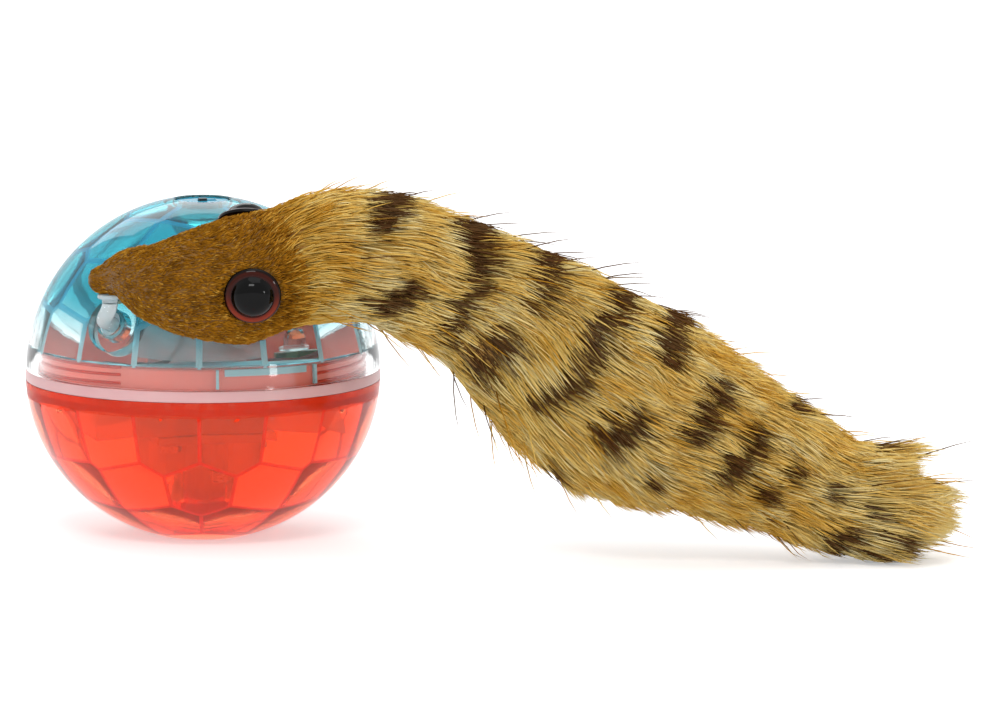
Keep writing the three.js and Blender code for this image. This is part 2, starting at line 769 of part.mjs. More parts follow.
// Motor cover: a round cap over the motor that narrows into the journal, with its front wall cut
// away for the cell and a flange for two of the case screws
const cellTop = -cellDrop + cellRadius;
const coverLow = deckTop + seat;
const coverOpen = cellTop + cellHeadroom;
const coverStraight = cellTop + coverRise;
const coverShoulderTop = coverStraight + coverShoulder;
const journalTop = ballRadius - poleRecess - switchCapThickness - seat;
const journalBore = journalRadius - journalWall;
const coverInner = coverRadius - coverWall;
function coverProfile(radius, tubeRadius, drop) {
  return [
    [radius, coverStraight - drop],
    [radius - (radius - tubeRadius) * coverBulgeShare, coverStraight + coverShoulder / 2 - drop],
    [(radius + tubeRadius) / 2, coverStraight + coverShoulder * coverCrownShare - drop],
    [tubeRadius, coverShoulderTop - drop],
  ];
}
const coverOutside = turned([
  [0, coverLow],
  [coverRadius, coverLow],
  ...coverProfile(coverRadius, journalRadius, 0),
  [journalRadius, journalTop],
  [0, journalTop],
]);
const coverInside = turned([
  [0, coverLow - overrun],
  [coverInner, coverLow - overrun],
  ...coverProfile(coverInner, journalBore, coverWall),
  [journalBore, journalTop + overrun],
  [0, journalTop + overrun],
]);
const coverFront = -cellOffset + trayHalfWidth + seat;
const frontCut = block(
  [-coverRadius - overrun, coverRadius + overrun],
  [-coverRadius - overrun, coverFront],
  [coverLow - overrun, coverOpen],
);
let cover = coverOutside;
const flangeAngles = earAngles.slice(0, 2);
flangeAngles.forEach((angle) => {
  cover = cover.add(ear(angle, earRadius, coverLow, coverLow + coverFlange, smallSteps));
});
cover = cover.subtract(coverInside).subtract(frontCut);
flangeAngles.forEach((angle) => {
  const high = coverLow + coverFlange + overrun;
  cover = cover.subtract(ear(angle, screwRadius + seat, coverLow - overrun, high, smallSteps));
});
add(unit, "motor_cover", cover, "clearGrey");

// Screws: three through the case, two from under the deck into the tray
function screw(headLow, tip, matrix) {
  return turned(
    [
      [0, headLow],
      [screwHeadRadius, headLow],
      [screwHeadRadius, headLow + screwHeadHeight],
      [screwRadius, headLow + screwHeadHeight],
      [screwRadius, tip],
      [0, tip],
    ],
    smallSteps,
    matrix,
  );
}
earAngles.forEach((angle, i) => {
  const tip = flangeAngles.includes(angle) ? coverLow + coverFlange : deckTop;
  const x = earDistance * Math.cos(angle * degrees);
  const y = earDistance * Math.sin(angle * degrees);
  const body = screw(floorBottom - seat - screwHeadHeight, tip, place(x, y, 0));
  add(unit, `case_screw_${i + 1}`, body, "steel");
});
[-1, 1].forEach((side, i) => {
  const headLow = deckBottom - seat - screwHeadHeight;
  const body = screw(headLow, trayScrewTop, place(side * trayScrewPlace, trayScrewBack, 0));
  add(unit, `tray_screw_${i + 1}`, body, "steel");
});

// Motor: flat-sided can with its shaft down, end cap and two terminals on top
const motorLow = deckTop + seat;
const motorTop = motorLow + motorLength;
const motorCapLow = motorTop - motorCapLength;
function flatSided(radius, halfFlat, low, high) {
  const slab = block(
    [-radius, radius],
    [motorOffset - halfFlat, motorOffset + halfFlat],
    [low, high],
  );
  return disc(radius, low, high, turnSteps, motorAt).intersect(slab);
}
const shaftHole = disc(
  motorShaftRadius + seat,
  motorLow - motorBossLength - overrun,
  motorLow + motorShaftSeat + seat,
  smallSteps,
  motorAt,
);
const motorCan = flatSided(motorRadius, motorFlatHalf, motorLow, motorCapLow - seat)
  .add(disc(motorBossRadius, motorLow - motorBossLength, motorLow + seat, turnSteps, motorAt))
  .subtract(shaftHole);
add(unit, "motor_can", motorCan, "steel");

const capInset = seat;
const terminalHoleHalf = terminalHalfWidth + seat;
let motorCap = flatSided(motorRadius - capInset, motorFlatHalf - capInset, motorCapLow, motorTop);
[-1, 1].forEach((side) => {
  motorCap = motorCap.subtract(
    block(
      [side * terminalPlace - terminalHoleHalf, side * terminalPlace + terminalHoleHalf],
      [motorOffset - terminalThickness / 2 - seat, motorOffset + terminalThickness / 2 + seat],
      [motorTop - motorCapLength / 2, motorTop + overrun],
    ),
  );
});
add(unit, "motor_cap", motorCap, "whitePlastic");

[["left", -1], ["right", 1]].forEach(([side, way]) => {
  const middle = way * terminalPlace;
  const tab = block(
    [middle - terminalHalfWidth, middle + terminalHalfWidth],
    [motorOffset - terminalThickness / 2, motorOffset + terminalThickness / 2],
    [motorTop - motorCapLength / 2 + seat, motorTop + terminalHeight],
  );
  add(unit, `motor_terminal_${side}`, tab, "brass");
});

const motorShaftLow = layerTop(0) - gearThickness;
const motorShaft = disc(
  motorShaftRadius,
  motorShaftLow,
  motorLow + motorShaftSeat,
  smallSteps,
  motorAt,
);
add(unit, "motor_shaft", motorShaft, "steel");

// Switch: body in the journal, slotted cap flush inside the pole's recess, slider through it
const capLow = journalTop + seat;
const capHigh = capLow + switchCapThickness;
const slotHalfWidth = sliderHalf + seat;
const switchCap = disc(journalRadius, capLow, capHigh).subtract(
  block(
    [-slotHalfWidth, slotHalfWidth + sliderTravel],
    [-slotHalfWidth, slotHalfWidth],
    [capLow - overrun, capHigh + overrun],
  ),
);
add(unit, "switch_cap", switchCap, "clearGrey");

const switchBodyTop = capLow - seat;
const switchBodyLow = switchBodyTop - switchBodyHeight;
const switchBody = block(
  [-switchBodyHalfLength, switchBodyHalfLength],
  [-switchBodyHalfWidth, switchBodyHalfWidth],
  [switchBodyLow, switchBodyTop],
);
add(unit, "switch_body", switchBody, "nickel");

const slider = block(
  [-sliderHalf, sliderHalf],
  [-sliderHalf, sliderHalf],
  [switchBodyTop + seat, capHigh + sliderStand],
);
add(unit, "switch_slider", slider, "blackPlastic");

// Light board behind the right end of the tray, with two lamps that face the front
const boardBack = -cellOffset + trayHalfWidth + seat + boardThickness;
const boardLow = trayBottom + trayWall;
const boardPlace = coverRadius + boardRoom;
const board = block(
  [boardPlace, boardPlace + boardWidth],
  [boardBack - boardThickness, boardBack],
  [boardLow, boardLow + boardHeight],
);
add(unit, "light_board", board, "greenBoard");

const domeAngle = lampDomeAngle * degrees;
["left", "right"].forEach((side, i) => {
  const x = boardPlace + boardWidth / 2 + (i - 0.5) * lampSpacing;
  const y = boardBack - boardThickness / 2;
  const lamp = turned(
    [
      [0, 0],
      [lampRadius + lampFlange, 0],
      [lampRadius + lampFlange, lampFlange],
      [lampRadius, lampFlange],
      [lampRadius, lampLength - lampRadius],
      [lampRadius * Math.cos(domeAngle), lampLength - lampRadius * (1 - Math.sin(domeAngle))],
      [0, lampLength],
    ],
    smallSteps,
    place(x, y, boardLow + boardHeight + seat),
  );
  add(unit, `lamp_${side}`, lamp, "clearLamp");
});

// Wires: cell to switch, switch to motor, motor to cell
function wireThrough(points) {
  const path = points.map(([x, y, z]) => new THREE.Vector3(x, y, z));
  return tube(path, wireRadius, wireSides, wireSteps);
}
const wireFree = wireRadius + seat;
const plateMiddle = plateOutside - contactThickness - wireFree / 2;
const plateTop = -cellDrop + contactHalfHeight + seat;
const coilMiddle = (cellStart - trayHalf - bayHalf) / 2;
const overGrip = coverOpen - 2 * wireFree;
const besideMotor = motorOffset - motorFlatHalf - 2 * wireFree;
const inNeck = journalBore / 2;
const overTerminal = motorTop + terminalHeight + wireFree;
const redWire = wireThrough([
  [plateMiddle, -cellOffset + contactHalfWidth / 2, plateTop],
  [plateMiddle, -cellOffset + contactHalfWidth / 2, plateTop + 2 * wireFree],
  [plateMiddle - wireFree, -cellOffset / 2 - 2 * wireFree, coverOpen],
  [boardPlace + boardWidth * wireBoardShare, -cellOffset / 2 + wireFree, overGrip],
  [coverRadius, besideMotor - wireFree, overGrip],
  [motorRadius, besideMotor - wireFree, overGrip],
  [motorRadius / 2, besideMotor - 2 * wireFree, motorTop / 2],
  [motorRadius * wireMotorShare, besideMotor - wireFree, motorTop],
  [inNeck, -inNeck / 2, coverShoulderTop],
  [inNeck, 0, switchBodyLow - seat],
]);
add(unit, "red_wire", redWire, "redWire");
const motorWire = wireThrough([
  [-inNeck, 0, switchBodyLow - seat],
  [-inNeck, wireFree, coverShoulderTop],
  [0, motorOffset / 2, overTerminal + wireFree],
  [terminalPlace, motorOffset, overTerminal],
]);
add(unit, "motor_wire", motorWire, "redWire");
const blackWire = wireThrough([
  [coilMiddle, -cellOffset + coilWireSide, -cellDrop + springRadius + wireFree],
  [coilMiddle, -cellOffset + 2 * wireFree, coverOpen - wireFree],
  [-boardPlace, -cellOffset / 2, overGrip],
  [-coverRadius, besideMotor - wireFree, overGrip],
  [-motorRadius, besideMotor - wireFree, overGrip],
  [-terminalPlace - wireFree, besideMotor - wireFree, motorTop / 2],
  [-terminalPlace, besideMotor, motorTop + wireFree],
  [-terminalPlace, motorOffset / 2, overTerminal],
  [-terminalPlace, motorOffset, overTerminal],
]);
add(unit, "black_wire", blackWire, "blackWire");

// Stuffed weasel: one line with a thickness runs from nose to tail, and the forms follow it.
// Each row: place along the length, height above the floor as a share of the ball's height,
// distance in front of the ball's centre as a share of the body's, thickness of the girth.
const weaselShares = [
  [0.014, 0.811, 0.833, 0.16],
  [0.0443, 0.829, 0.893, 0.287],
  [0.0842, 0.82, 0.95, 0.446],
  [0.1241, 0.823, 1, 0.567],
  [0.1695, 0.835, 1, 0.65],
  [0.2266, 0.87, 1, 0.68],
  [0.2803, 0.89, 1, 0.666],
  [0.3346, 0.88, 1, 0.68],
  [0.3893, 0.8283, 1, 0.69],
  [0.4325, 0.7778, 1, 0.743],
  [0.4825, 0.6946, 1, 0.864],
  [0.5417, 0.5786, 1, 1],
  [0.61, 0.4657, 1, 0.984],
  [0.6794, 0.3913, 1, 0.833],
  [0.7533, 0.3081, 1, 0.683],
  [0.8227, 0.2189, 1, 0.592],
  [0.8819, 0.1714, 1, 0.582],
  [0.9274, 0.1476, 1, 0.462],
  [0.9672, 0.1506, 1, 0.271],
];
const headStations = [0, 5.5];
const foreStations = [5.5, 9];
const hindStations = [8, 14];
const tailStations = [13.4, 18];
const ballHeight = centreHeight + ballRadius;
const plushPlane = ballRadius + plushStandOff;
const weaselStations = weaselShares.map(([reach, high, front, thick]) => {
  const radius = (thick * plushGirth) / 2;
  const x = reach * plushLength - noseReach;
  // A form that would sink into the floor is lifted until it is only pressed a little flat.
  const z = Math.max(high * ballHeight, radius - tailPress) - centreHeight;
  const clear = (ballRadius + radius + plushGap) ** 2 - x ** 2 - z ** 2;
  const y = -Math.max(front * plushPlane, Math.sqrt(Math.max(clear, 0)));
  return { middle: new THREE.Vector3(x, y, z), radius };
});
const lastStation = weaselStations.length - 1;
const middleLine = new THREE.CatmullRomCurve3(weaselStations.map(({ middle }) => middle));
const thickLine = new THREE.CatmullRomCurve3(
  weaselStations.map(({ radius }) => new THREE.Vector3(radius, 0, 0)),
);
function weaselAt(station) {
  const t = station / lastStation;
  const middle = middleLine.getPoint(t);
  return { middle, way: middleLine.getTangent(t), radius: thickLine.getPoint(t).x };
}

// One form from one station to another, with rounded ends; grow makes it larger all round.
function stuffed([first, last], grow = 0) {
  const rings = [];
  const steps = Math.ceil((last - first) * 2);
  for (let i = 0; i <= steps; i += 1) {
    const { middle, way, radius } = weaselAt(first + ((last - first) * i) / steps);
    rings.push({ middle, way, radius: radius + grow });
  }
  const rounded = (end, side) => {
    const tip = end.radius * plushEndShare;
    return plushEndAngles.map((angle) => ({
      middle: end.middle.clone().addScaledVector(end.way, side * tip * Math.sin(angle * degrees)),
      way: end.way,
      radius: end.radius * Math.cos(angle * degrees),
    }));
  };
  rings.unshift(...rounded(rings[0], -1).reverse());
  rings.push(...rounded(rings[rings.length - 1], 1));
  const points = [];
  rings.forEach(({ middle, way, radius }) => {
    const side = new THREE.Vector3(0, 1, 0).cross(way).normalize();
    const across = way.clone().cross(side);
    for (let i = 0; i < plushSides; i += 1) {
      const angle = (i * 360 * degrees) / plushSides;
      const point = middle.clone().addScaledVector(side, radius * Math.cos(angle));
      points.push(point.addScaledVector(across, radius * Math.sin(angle)));
    }
  });
  const faces = [];
  const lastRow = rings.length - 1;
  for (let row = 0; row < lastRow; row += 1) {
    for (let i = 0; i < plushSides; i += 1) {
      const a = row * plushSides + i;
      const b = row * plushSides + ((i + 1) % plushSides);
      faces.push(a, b, a + plushSides, b, b + plushSides, a + plushSides);
    }
  }
  points.push(rings[0].middle, rings[lastRow].middle);
  const end = lastRow * plushSides;
  for (let i = 0; i < plushSides; i += 1) {
    const next = (i + 1) % plushSides;
    faces.push(next, i, points.length - 2, end + i, end + next, points.length - 1);
  }
  const geometry = new THREE.BufferGeometry().setFromPoints(points);
  geometry.setIndex(faces);
  return solid(geometry);
}
const floor = block(
  [-plushLength, plushLength],
  [-plushLength, plushLength],
  [-centreHeight - plushGirth, -centreHeight],
);
const hindBody = stuffed(hindStations);
const hindRoom = stuffed(hindStations, seat);
const foreBody = stuffed(foreStations).subtract(hindRoom);
const foreRoom = stuffed(foreStations, seat);
const tail = stuffed(tailStations).subtract(hindRoom).subtract(floor);
add(ball, "plush_forebody", foreBody, "fur");
add(ball, "plush_hindbody", hindBody, "fur");
add(ball, "plush_tail", tail, "fur");

// Where the line passes a place along the length
function stationOf(share) {
  let low = 0;
  let high = lastStation;
  const x = share * plushLength - noseReach;
  while (high - low > seat / plushLength) {
    const half = (low + high) / 2;
    if (weaselAt(half).middle.x < x) low = half;
    else high = half;
  }
  return low;
}

// Eyes: a domed button with a rim and a shank, and a locking washer inside the head
function eyeStand(share, angle) {
  const { middle, radius } = weaselAt(stationOf(share));
  const out = new THREE.Vector3(0, -Math.cos(angle * degrees), Math.sin(angle * degrees));
  return along(out, middle.clone().addScaledVector(out, radius - eyeSink));
}
let head = stuffed(headStations).subtract(foreRoom);
const washerTop = -eyeWasherSeat;
const washerLow = washerTop - eyeWasherThickness;
[["near_eye", nearEyeShare, nearEyeAngle], ["far_eye", farEyeShare, farEyeAngle]].forEach(
  ([name, share, angle]) => {
    const stand = eyeStand(share, angle);
    const domeStart = eyeRadius - eyeRim;
    const button = turned(
      [
        [0, -eyeShankLength],
        [eyeShankRadius, -eyeShankLength],
        [eyeShankRadius, 0],
        [eyeRadius, 0],
        [eyeRadius, eyeRim],
        [domeStart, eyeRim * 2],
        [domeStart * Math.cos(eyeDomeAngle * degrees), eyeRim * 2 + (eyeDome - eyeRim) / 2],
        [domeStart / 2, eyeRim * 2 + (eyeDome - eyeRim) * eyeCrownShare],
        [0, eyeRim + eyeDome],
      ],
      turnSteps,
      stand,
    );
    add(ball, name, button, "amber");
    const washer = ring(
      eyeShankRadius + seat,
      eyeWasherRadius,
      washerLow,
      washerTop,
      smallSteps,
      stand,
    );
    add(ball, `${name}_washer`, washer, "whitePlastic");
    const room = turned(
      [
        [0, -eyeShankLength - seat],
        [eyeShankRadius + seat, -eyeShankLength - seat],
        [eyeShankRadius + seat, washerLow - seat],
        [eyeWasherRadius + seat, washerLow - seat],
        [eyeWasherRadius + seat, washerTop + seat],
        [eyeShankRadius + seat, washerTop + seat],
        [eyeShankRadius + seat, -seat],
        [eyeRadius + seat, -seat],
        [eyeRadius + seat, eyeRadius],
        [0, eyeRadius],
      ],
      turnSteps,
      stand,
    );
    head = head.subtract(room);
  },
);

// Nose clip: a knob that snaps into the cup, a bent stem and a flange let into the snout
const snout = weaselAt(stationOf(clipStationShare));
const flangeLow = snout.middle.z - snout.radius;
const flangeAt = place(snout.middle.x, snout.middle.y, 0);
const knobLow = cupBack + cupFloor + seat;
const knobTop = ballRadius - lipDepth - seat;
const knob = turned(
  [
    [0, knobLow],
    [knobRadius - knobEdge, knobLow],
    [knobRadius, knobLow + knobEdge],
    [knobRadius, knobTop - knobEdge],
    [knobRadius - knobEdge, knobTop],
    [0, knobTop],
  ],
  turnSteps,
  clipAxis,
);
const stem = tube(
  [
    clipWay.clone().multiplyScalar(knobTop - knobEdge),
    clipWay.clone().multiplyScalar(ballRadius),
    clipWay.clone().multiplyScalar(ballRadius + stemReach),
    new THREE.Vector3(snout.middle.x, snout.middle.y, flangeLow - stemRadius),
    new THREE.Vector3(snout.middle.x, snout.middle.y, flangeLow + flangeThickness / 2),
  ],
  stemRadius,
  stemSides,
  stemSteps,
);
const flange = disc(flangeRadius, flangeLow, flangeLow + flangeThickness, turnSteps, flangeAt);
add(ball, "nose_clip", knob.add(stem).add(flange), "whitePlastic");

const flangeRoomTop = flangeLow + flangeThickness + seat;
const flangeRoomLow = flangeLow - snout.radius;
const flangeRoom = disc(
  flangeRadius + seat,
  flangeRoomLow,
  flangeRoomTop,
  turnSteps,
  flangeAt,
);
head = head.subtract(flangeRoom);
add(ball, "plush_head", head, "velour");

export default toy;
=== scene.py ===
import math

import bmesh
import bpy
import numpy as np
from mathutils import Matrix, Vector, kdtree, noise


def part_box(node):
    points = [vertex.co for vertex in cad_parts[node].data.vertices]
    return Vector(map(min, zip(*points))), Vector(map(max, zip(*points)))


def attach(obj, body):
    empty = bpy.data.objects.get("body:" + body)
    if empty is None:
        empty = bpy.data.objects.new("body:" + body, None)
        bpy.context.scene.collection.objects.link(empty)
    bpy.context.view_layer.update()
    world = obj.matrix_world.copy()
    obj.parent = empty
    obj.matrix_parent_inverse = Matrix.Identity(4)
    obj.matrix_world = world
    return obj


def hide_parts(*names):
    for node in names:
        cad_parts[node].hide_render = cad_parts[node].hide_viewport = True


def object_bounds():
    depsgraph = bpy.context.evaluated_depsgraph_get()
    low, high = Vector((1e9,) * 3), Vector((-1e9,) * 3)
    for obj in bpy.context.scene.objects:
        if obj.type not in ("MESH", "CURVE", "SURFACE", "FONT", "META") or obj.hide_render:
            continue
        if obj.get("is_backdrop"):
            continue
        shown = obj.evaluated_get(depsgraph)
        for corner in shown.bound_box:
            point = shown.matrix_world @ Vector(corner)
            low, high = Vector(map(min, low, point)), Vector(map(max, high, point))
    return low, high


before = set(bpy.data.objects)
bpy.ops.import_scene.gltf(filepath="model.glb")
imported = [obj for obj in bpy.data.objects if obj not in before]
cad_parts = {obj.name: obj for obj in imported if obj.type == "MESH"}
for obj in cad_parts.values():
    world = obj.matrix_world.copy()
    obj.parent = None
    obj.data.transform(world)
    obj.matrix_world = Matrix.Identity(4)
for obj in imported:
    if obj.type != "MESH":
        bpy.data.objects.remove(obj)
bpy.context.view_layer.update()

mm = 0.001
degrees = math.radians

# Camera: a long lens a little above the ball, looking slightly down, square to the weasel's
# side. The ball's size and centre come from the seam gasket of the frame.
seam_low, seam_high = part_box("seam_gasket")
centre = Vector((0, 0, (seam_low.z + seam_high.z) / 2))
ball_radius = (seam_high.x - seam_low.x) / 2
look_down = degrees(8.2)
view_width = 231 * mm
view_distance = 3.0
aim = centre + Vector((68.6 * mm, 0, 4.3 * mm))


def linked(name, data):
    """A new object in the scene that shows this data."""
    made = bpy.data.objects.new(name, data)
    bpy.context.collection.objects.link(made)
    return made


camera_data = bpy.data.cameras.new("camera")
camera_data.sensor_width = 36
camera_data.lens = camera_data.sensor_width * view_distance / view_width
camera = linked("camera", camera_data)
camera.location = aim + view_distance * Vector((0, -math.cos(look_down), math.sin(look_down)))
camera.rotation_euler = (degrees(90) - look_down, 0, 0)
bpy.context.scene.camera = camera


# Studio: a white paper floor that also makes the background, an even white surround, a wide
# soft lamp in front that draws a window on the eye, and smaller ones at the right and behind.
# Floor and surround are turned up where they light and show the works inside the ball.
floor_half = 3.0
turned_up = 0.5


def rgb(code):
    """An sRGB colour such as "#FF5A33" as linear numbers with alpha."""
    parts = [int(code[i:i + 2], 16) / 255 for i in (1, 3, 5)]
    linear = [c / 12.92 if c <= 0.04045 else ((c + 0.055) / 1.055) ** 2.4 for c in parts]
    return (*linear, 1.0)


def node(tree, kind, settings=None, inputs=None):
    """Adds one node. inputs holds a socket's value or its link: an output, or a node for its
    first output."""
    made = tree.nodes.new(kind)
    for name, value in (settings or {}).items():
        setattr(made, name, value)
    for name, value in (inputs or {}).items():
        if isinstance(value, bpy.types.Node):
            value = value.outputs[0]
        if isinstance(value, bpy.types.NodeSocket):
            tree.links.new(value, made.inputs[name])
        else:
            made.inputs[name].default_value = value
    return made


def emptied(owner):
    """A new material or world and its node tree, without nodes."""
    owner.use_nodes = True
    owner.node_tree.nodes.clear()
    return owner, owner.node_tree


def blank_material(name):
    return emptied(bpy.data.materials.new(name))


def seen_through(tree):
    """1 for rays from the camera and for those that gloss or clear plastic sends on."""
    rays = node(tree, "ShaderNodeLightPath").outputs
    seen = rays["Is Camera Ray"]
    for sent_on in ("Is Transmission Ray", "Is Glossy Ray"):
        seen = node(tree, "ShaderNodeMath", {"operation": "MAXIMUM"}, {0: seen, 1: rays[sent_on]})
    return seen


def brighter_through_plastic(tree, strength):
    rays = node(tree, "ShaderNodeLightPath")
    return node(tree, "ShaderNodeMath", {"operation": "MULTIPLY_ADD"},
                {0: rays.outputs["Is Transmission Ray"], 1: turned_up, 2: strength})


bpy.context.scene.view_settings.view_transform = "Standard"
world, sky = emptied(bpy.data.worlds.new("studio_surround"))
bpy.context.scene.world = world
soft_light = node(sky, "ShaderNodeBackground", None, {"Color": rgb("#F6F6F8"), "Strength": 0.72})
white_seen = node(sky, "ShaderNodeBackground", None,
                  {"Color": rgb("#FFFFFF"), "Strength": brighter_through_plastic(sky, 1.0)})
both = node(sky, "ShaderNodeMixShader", None, {0: seen_through(sky), 1: soft_light, 2: white_seen})
node(sky, "ShaderNodeOutputWorld", None, {"Surface": both})

floor_material, tree = blank_material("white_paper_floor")
paper = node(tree, "ShaderNodeBsdfDiffuse", None, {"Color": rgb("#F7F7F7")})
lit = node(tree, "ShaderNodeEmission", None,
           {"Color": rgb("#FFFFFF"), "Strength": brighter_through_plastic(tree, 0.45)})
glow = node(tree, "ShaderNodeAddShader", None, {0: paper, 1: lit})
both = node(tree, "ShaderNodeMixShader", None, {0: seen_through(tree), 1: paper, 2: glow})
node(tree, "ShaderNodeOutputMaterial", None, {"Surface": both})
floor_mesh = bpy.data.meshes.new("floor")
floor_mesh.from_pydata([(x * floor_half, y * floor_half, 0)
                        for x, y in ((-1, -1), (1, -1), (1, 1), (-1, 1))], [], [(0, 1, 2, 3)])
floor_mesh.materials.append(floor_material)
linked("floor", floor_mesh)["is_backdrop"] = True

for name, place, width, height, power in (
        ("front_window", (-0.08, -0.90, 0.80), 0.42, 0.26, 3.7),
        ("right_spot", (0.80, -0.74, 0.16), 0.10, 0.14, 0.9),
        ("top_lamp", (0.15, -0.25, 1.15), 0.8, 0.8, 2.4),
        ("back_lamp", (-0.2, 0.9, 0.7), 0.7, 0.5, 2.2)):
    data = bpy.data.lights.new(name, "AREA")
    data.shape, data.size, data.size_y, data.energy = "RECTANGLE", width, height, power
    lamp = linked(name, data)
    lamp.location = place
    lamp.rotation_euler = (centre - Vector(place)).to_track_quat("-Z", "Y").to_euler()


# Lower half of the ball: polystyrene moulded in clear orange-red, polished outside. The mould's
# core is cut in flat facets, so the wall is thick in the middle of each facet and thin at its
# edges. The rim at the seam carries the neck, and a boss at the pole takes the output shaft.
shell_wall = 2.4 * mm
lower_depth = 38.9 * mm
facet_width = 15.2 * mm
facet_row_pitch = 13.6 * mm
facet_edge = 0.45 * mm
same_corner = 0.3 * mm
inner_radius = ball_radius - shell_wall
gasket_half = (seam_high.z - seam_low.z) / 2
seat = 0.3 * mm
shoulder = gasket_half + seat + 5.5 * mm
skirt_bore = ball_radius - 2.1 * mm
neck_outer = skirt_bore - 0.9 * mm
neck_inner = neck_outer - 1.6 * mm
neck_top = shoulder - 0.8 * mm
lower_rim = -gasket_half - seat
neck_root = lower_rim - 2 * mm
socket_top = -(lower_depth - shell_wall) + 8.5 * mm
socket_floor = socket_top - 6.8 * mm
socket_half_flat = 3.3 * mm
boss_radius = 6.6 * mm
flat_low = -centre.z
round_steps, arc_steps = 144, 40
edge_slot, thin_slot, rim_slot = 1, 2, 3
in_ball = Matrix.Translation(centre)


def piece(name, bm, materials, body, replaced=(), smooth=30, matrix=None):
    """A finished mesh as an object that rides on a body. smooth is the angle of its soft edges."""
    if matrix:
        bmesh.ops.transform(bm, matrix=matrix, verts=bm.verts)
    mesh = bpy.data.meshes.new(name)
    bm.to_mesh(mesh)
    bm.free()
    for material in materials:
        mesh.materials.append(material)
    made = linked(name, mesh)
    mesh.shade_smooth()
    mesh.set_sharp_from_angle(angle=degrees(smooth))
    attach(made, body)
    if replaced:
        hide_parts(*replaced)
    return made


def round_angles(count):
    return [2 * math.pi * i / count for i in range(count)]


def turned(profile, steps=round_steps, matrix=None, bands=None):
    """A closed profile of (radius, height) points turned about Z; bands gives each row's slot."""
    bm = bmesh.new()
    rows = []
    for radius, height in profile:
        if radius < 1e-9:
            rows.append([bm.verts.new((0, 0, height))])
        else:
            rows.append([bm.verts.new((radius * math.cos(a), radius * math.sin(a), height))
                         for a in round_angles(steps)])
    closed = len(rows[0]) > 1 and len(rows[-1]) > 1
    pairs = list(zip(rows, rows[1:])) + ([(rows[-1], rows[0])] if closed else [])
    for row, (low, high) in enumerate(pairs):
        for i in range(steps):
            j = (i + 1) % steps
            if len(low) == 1:
                face = bm.faces.new((low[0], high[j], high[i]))
            elif len(high) == 1:
                face = bm.faces.new((low[i], low[j], high[0]))
            else:
                face = bm.faces.new((low[i], low[j], high[j], high[i]))
            face.material_index = bands[row] if bands else 0
    bmesh.ops.recalc_face_normals(bm, faces=bm.faces)
    if matrix:
        bmesh.ops.transform(bm, matrix=matrix, verts=bm.verts)
    return bm


def plug(radius, low, high, steps, matrix=None, foot=0, top=0):
    """A round pin; foot and top are the bevels at its ends."""
    lower = [(radius - foot, low), (radius, low + foot)] if foot else [(radius, low)]
    upper = [(radius, high - top), (radius - top, high)] if top else [(radius, high)]
    return turned([(0, low), *lower, *upper, (0, high)], steps, matrix)


def cuboid(low, high):
    bm = bmesh.new()
    bmesh.ops.create_cube(bm, size=1)
    low, high = Vector(low), Vector(high)
    place = Matrix.Translation((high + low) / 2) @ Matrix.Diagonal((*(high - low), 1))
    bmesh.ops.transform(bm, matrix=place, verts=bm.verts)
    return bm


working_slots = [bpy.data.materials.new(f"working_{i}") for i in range(3)]


def combined(whole, operation, *others):
    """Joins or cuts closed meshes one by one; the others' faces keep their material slots."""
    for other in others:
        objects = []
        for bm in (whole, other):
            mesh = bpy.data.meshes.new("working")
            bm.to_mesh(mesh)
            bm.free()
            for slot_material in working_slots:
                mesh.materials.append(slot_material)
            objects.append(linked("working", mesh))
        modifier = objects[0].modifiers.new("cut", "BOOLEAN")
        modifier.operation = operation
        modifier.object = objects[1]
        modifier.solver = "EXACT"
        modifier.material_mode = "TRANSFER"
        graph = bpy.context.evaluated_depsgraph_get()
        whole = bmesh.new()
        whole.from_mesh(objects[0].evaluated_get(graph).to_mesh())
        for held in objects:
            mesh = held.data
            bpy.data.objects.remove(held)
            bpy.data.meshes.remove(mesh)
    return whole


def faceted_hollow(first_angle, depth, edge):
    """The mould's core: facets in rows round the pole, with a narrow band at their edges for the
    painted edge colour.
    """
    ways = bmesh.new()
    angle, row = degrees(first_angle), 0
    while angle < degrees(85):
        count = math.ceil(2 * math.pi * inner_radius * math.sin(angle) / facet_width)
        for i in range(count):
            azimuth = 2 * math.pi * (i + (row % 2) / 2) / count - math.pi / 2
            out = Vector((math.cos(azimuth), math.sin(azimuth), 0)) * math.sin(angle)
            for side in (1, -1):
                ways.verts.new(out + Vector((0, 0, side * math.cos(angle))))
        angle += facet_row_pitch / inner_radius
        row += 1
    bmesh.ops.convex_hull(ways, input=ways.verts)
    bmesh.ops.triangulate(ways, faces=ways.faces)
    corners = []
    for face in ways.faces:
        a, b, c = (v.co for v in face.verts)
        corner = (a.cross(b) + b.cross(c) + c.cross(a)) / a.dot(b.cross(c))
        corner = Vector((corner.x * inner_radius, corner.y * inner_radius, corner.z * depth))
        if all((corner - other).length > same_corner for other in corners):
            corners.append(corner)
    ways.free()
    bm = bmesh.new()
    for corner in corners:
        bm.verts.new(corner)
    bmesh.ops.convex_hull(bm, input=bm.verts)
    bmesh.ops.dissolve_limit(bm, angle_limit=degrees(0.6), verts=bm.verts, edges=bm.edges)
    bmesh.ops.recalc_face_normals(bm, faces=bm.faces)
    inset = bmesh.ops.inset_individual(bm, faces=bm.faces, thickness=edge,
                                       depth=0.0, use_even_offset=True)
    for face in inset["faces"]:
        face.material_index = edge_slot
    return bm


def ball_arc(depth, low, high):
    """The ball's outline as (radius, height) points between two heights from its centre."""
    first, last = math.asin(low / depth), math.asin(high / depth)
    angles = [first + (last - first) * i / arc_steps for i in range(arc_steps + 1)]
    return [(ball_radius * max(math.cos(a), 0), depth * math.sin(a)) for a in angles]


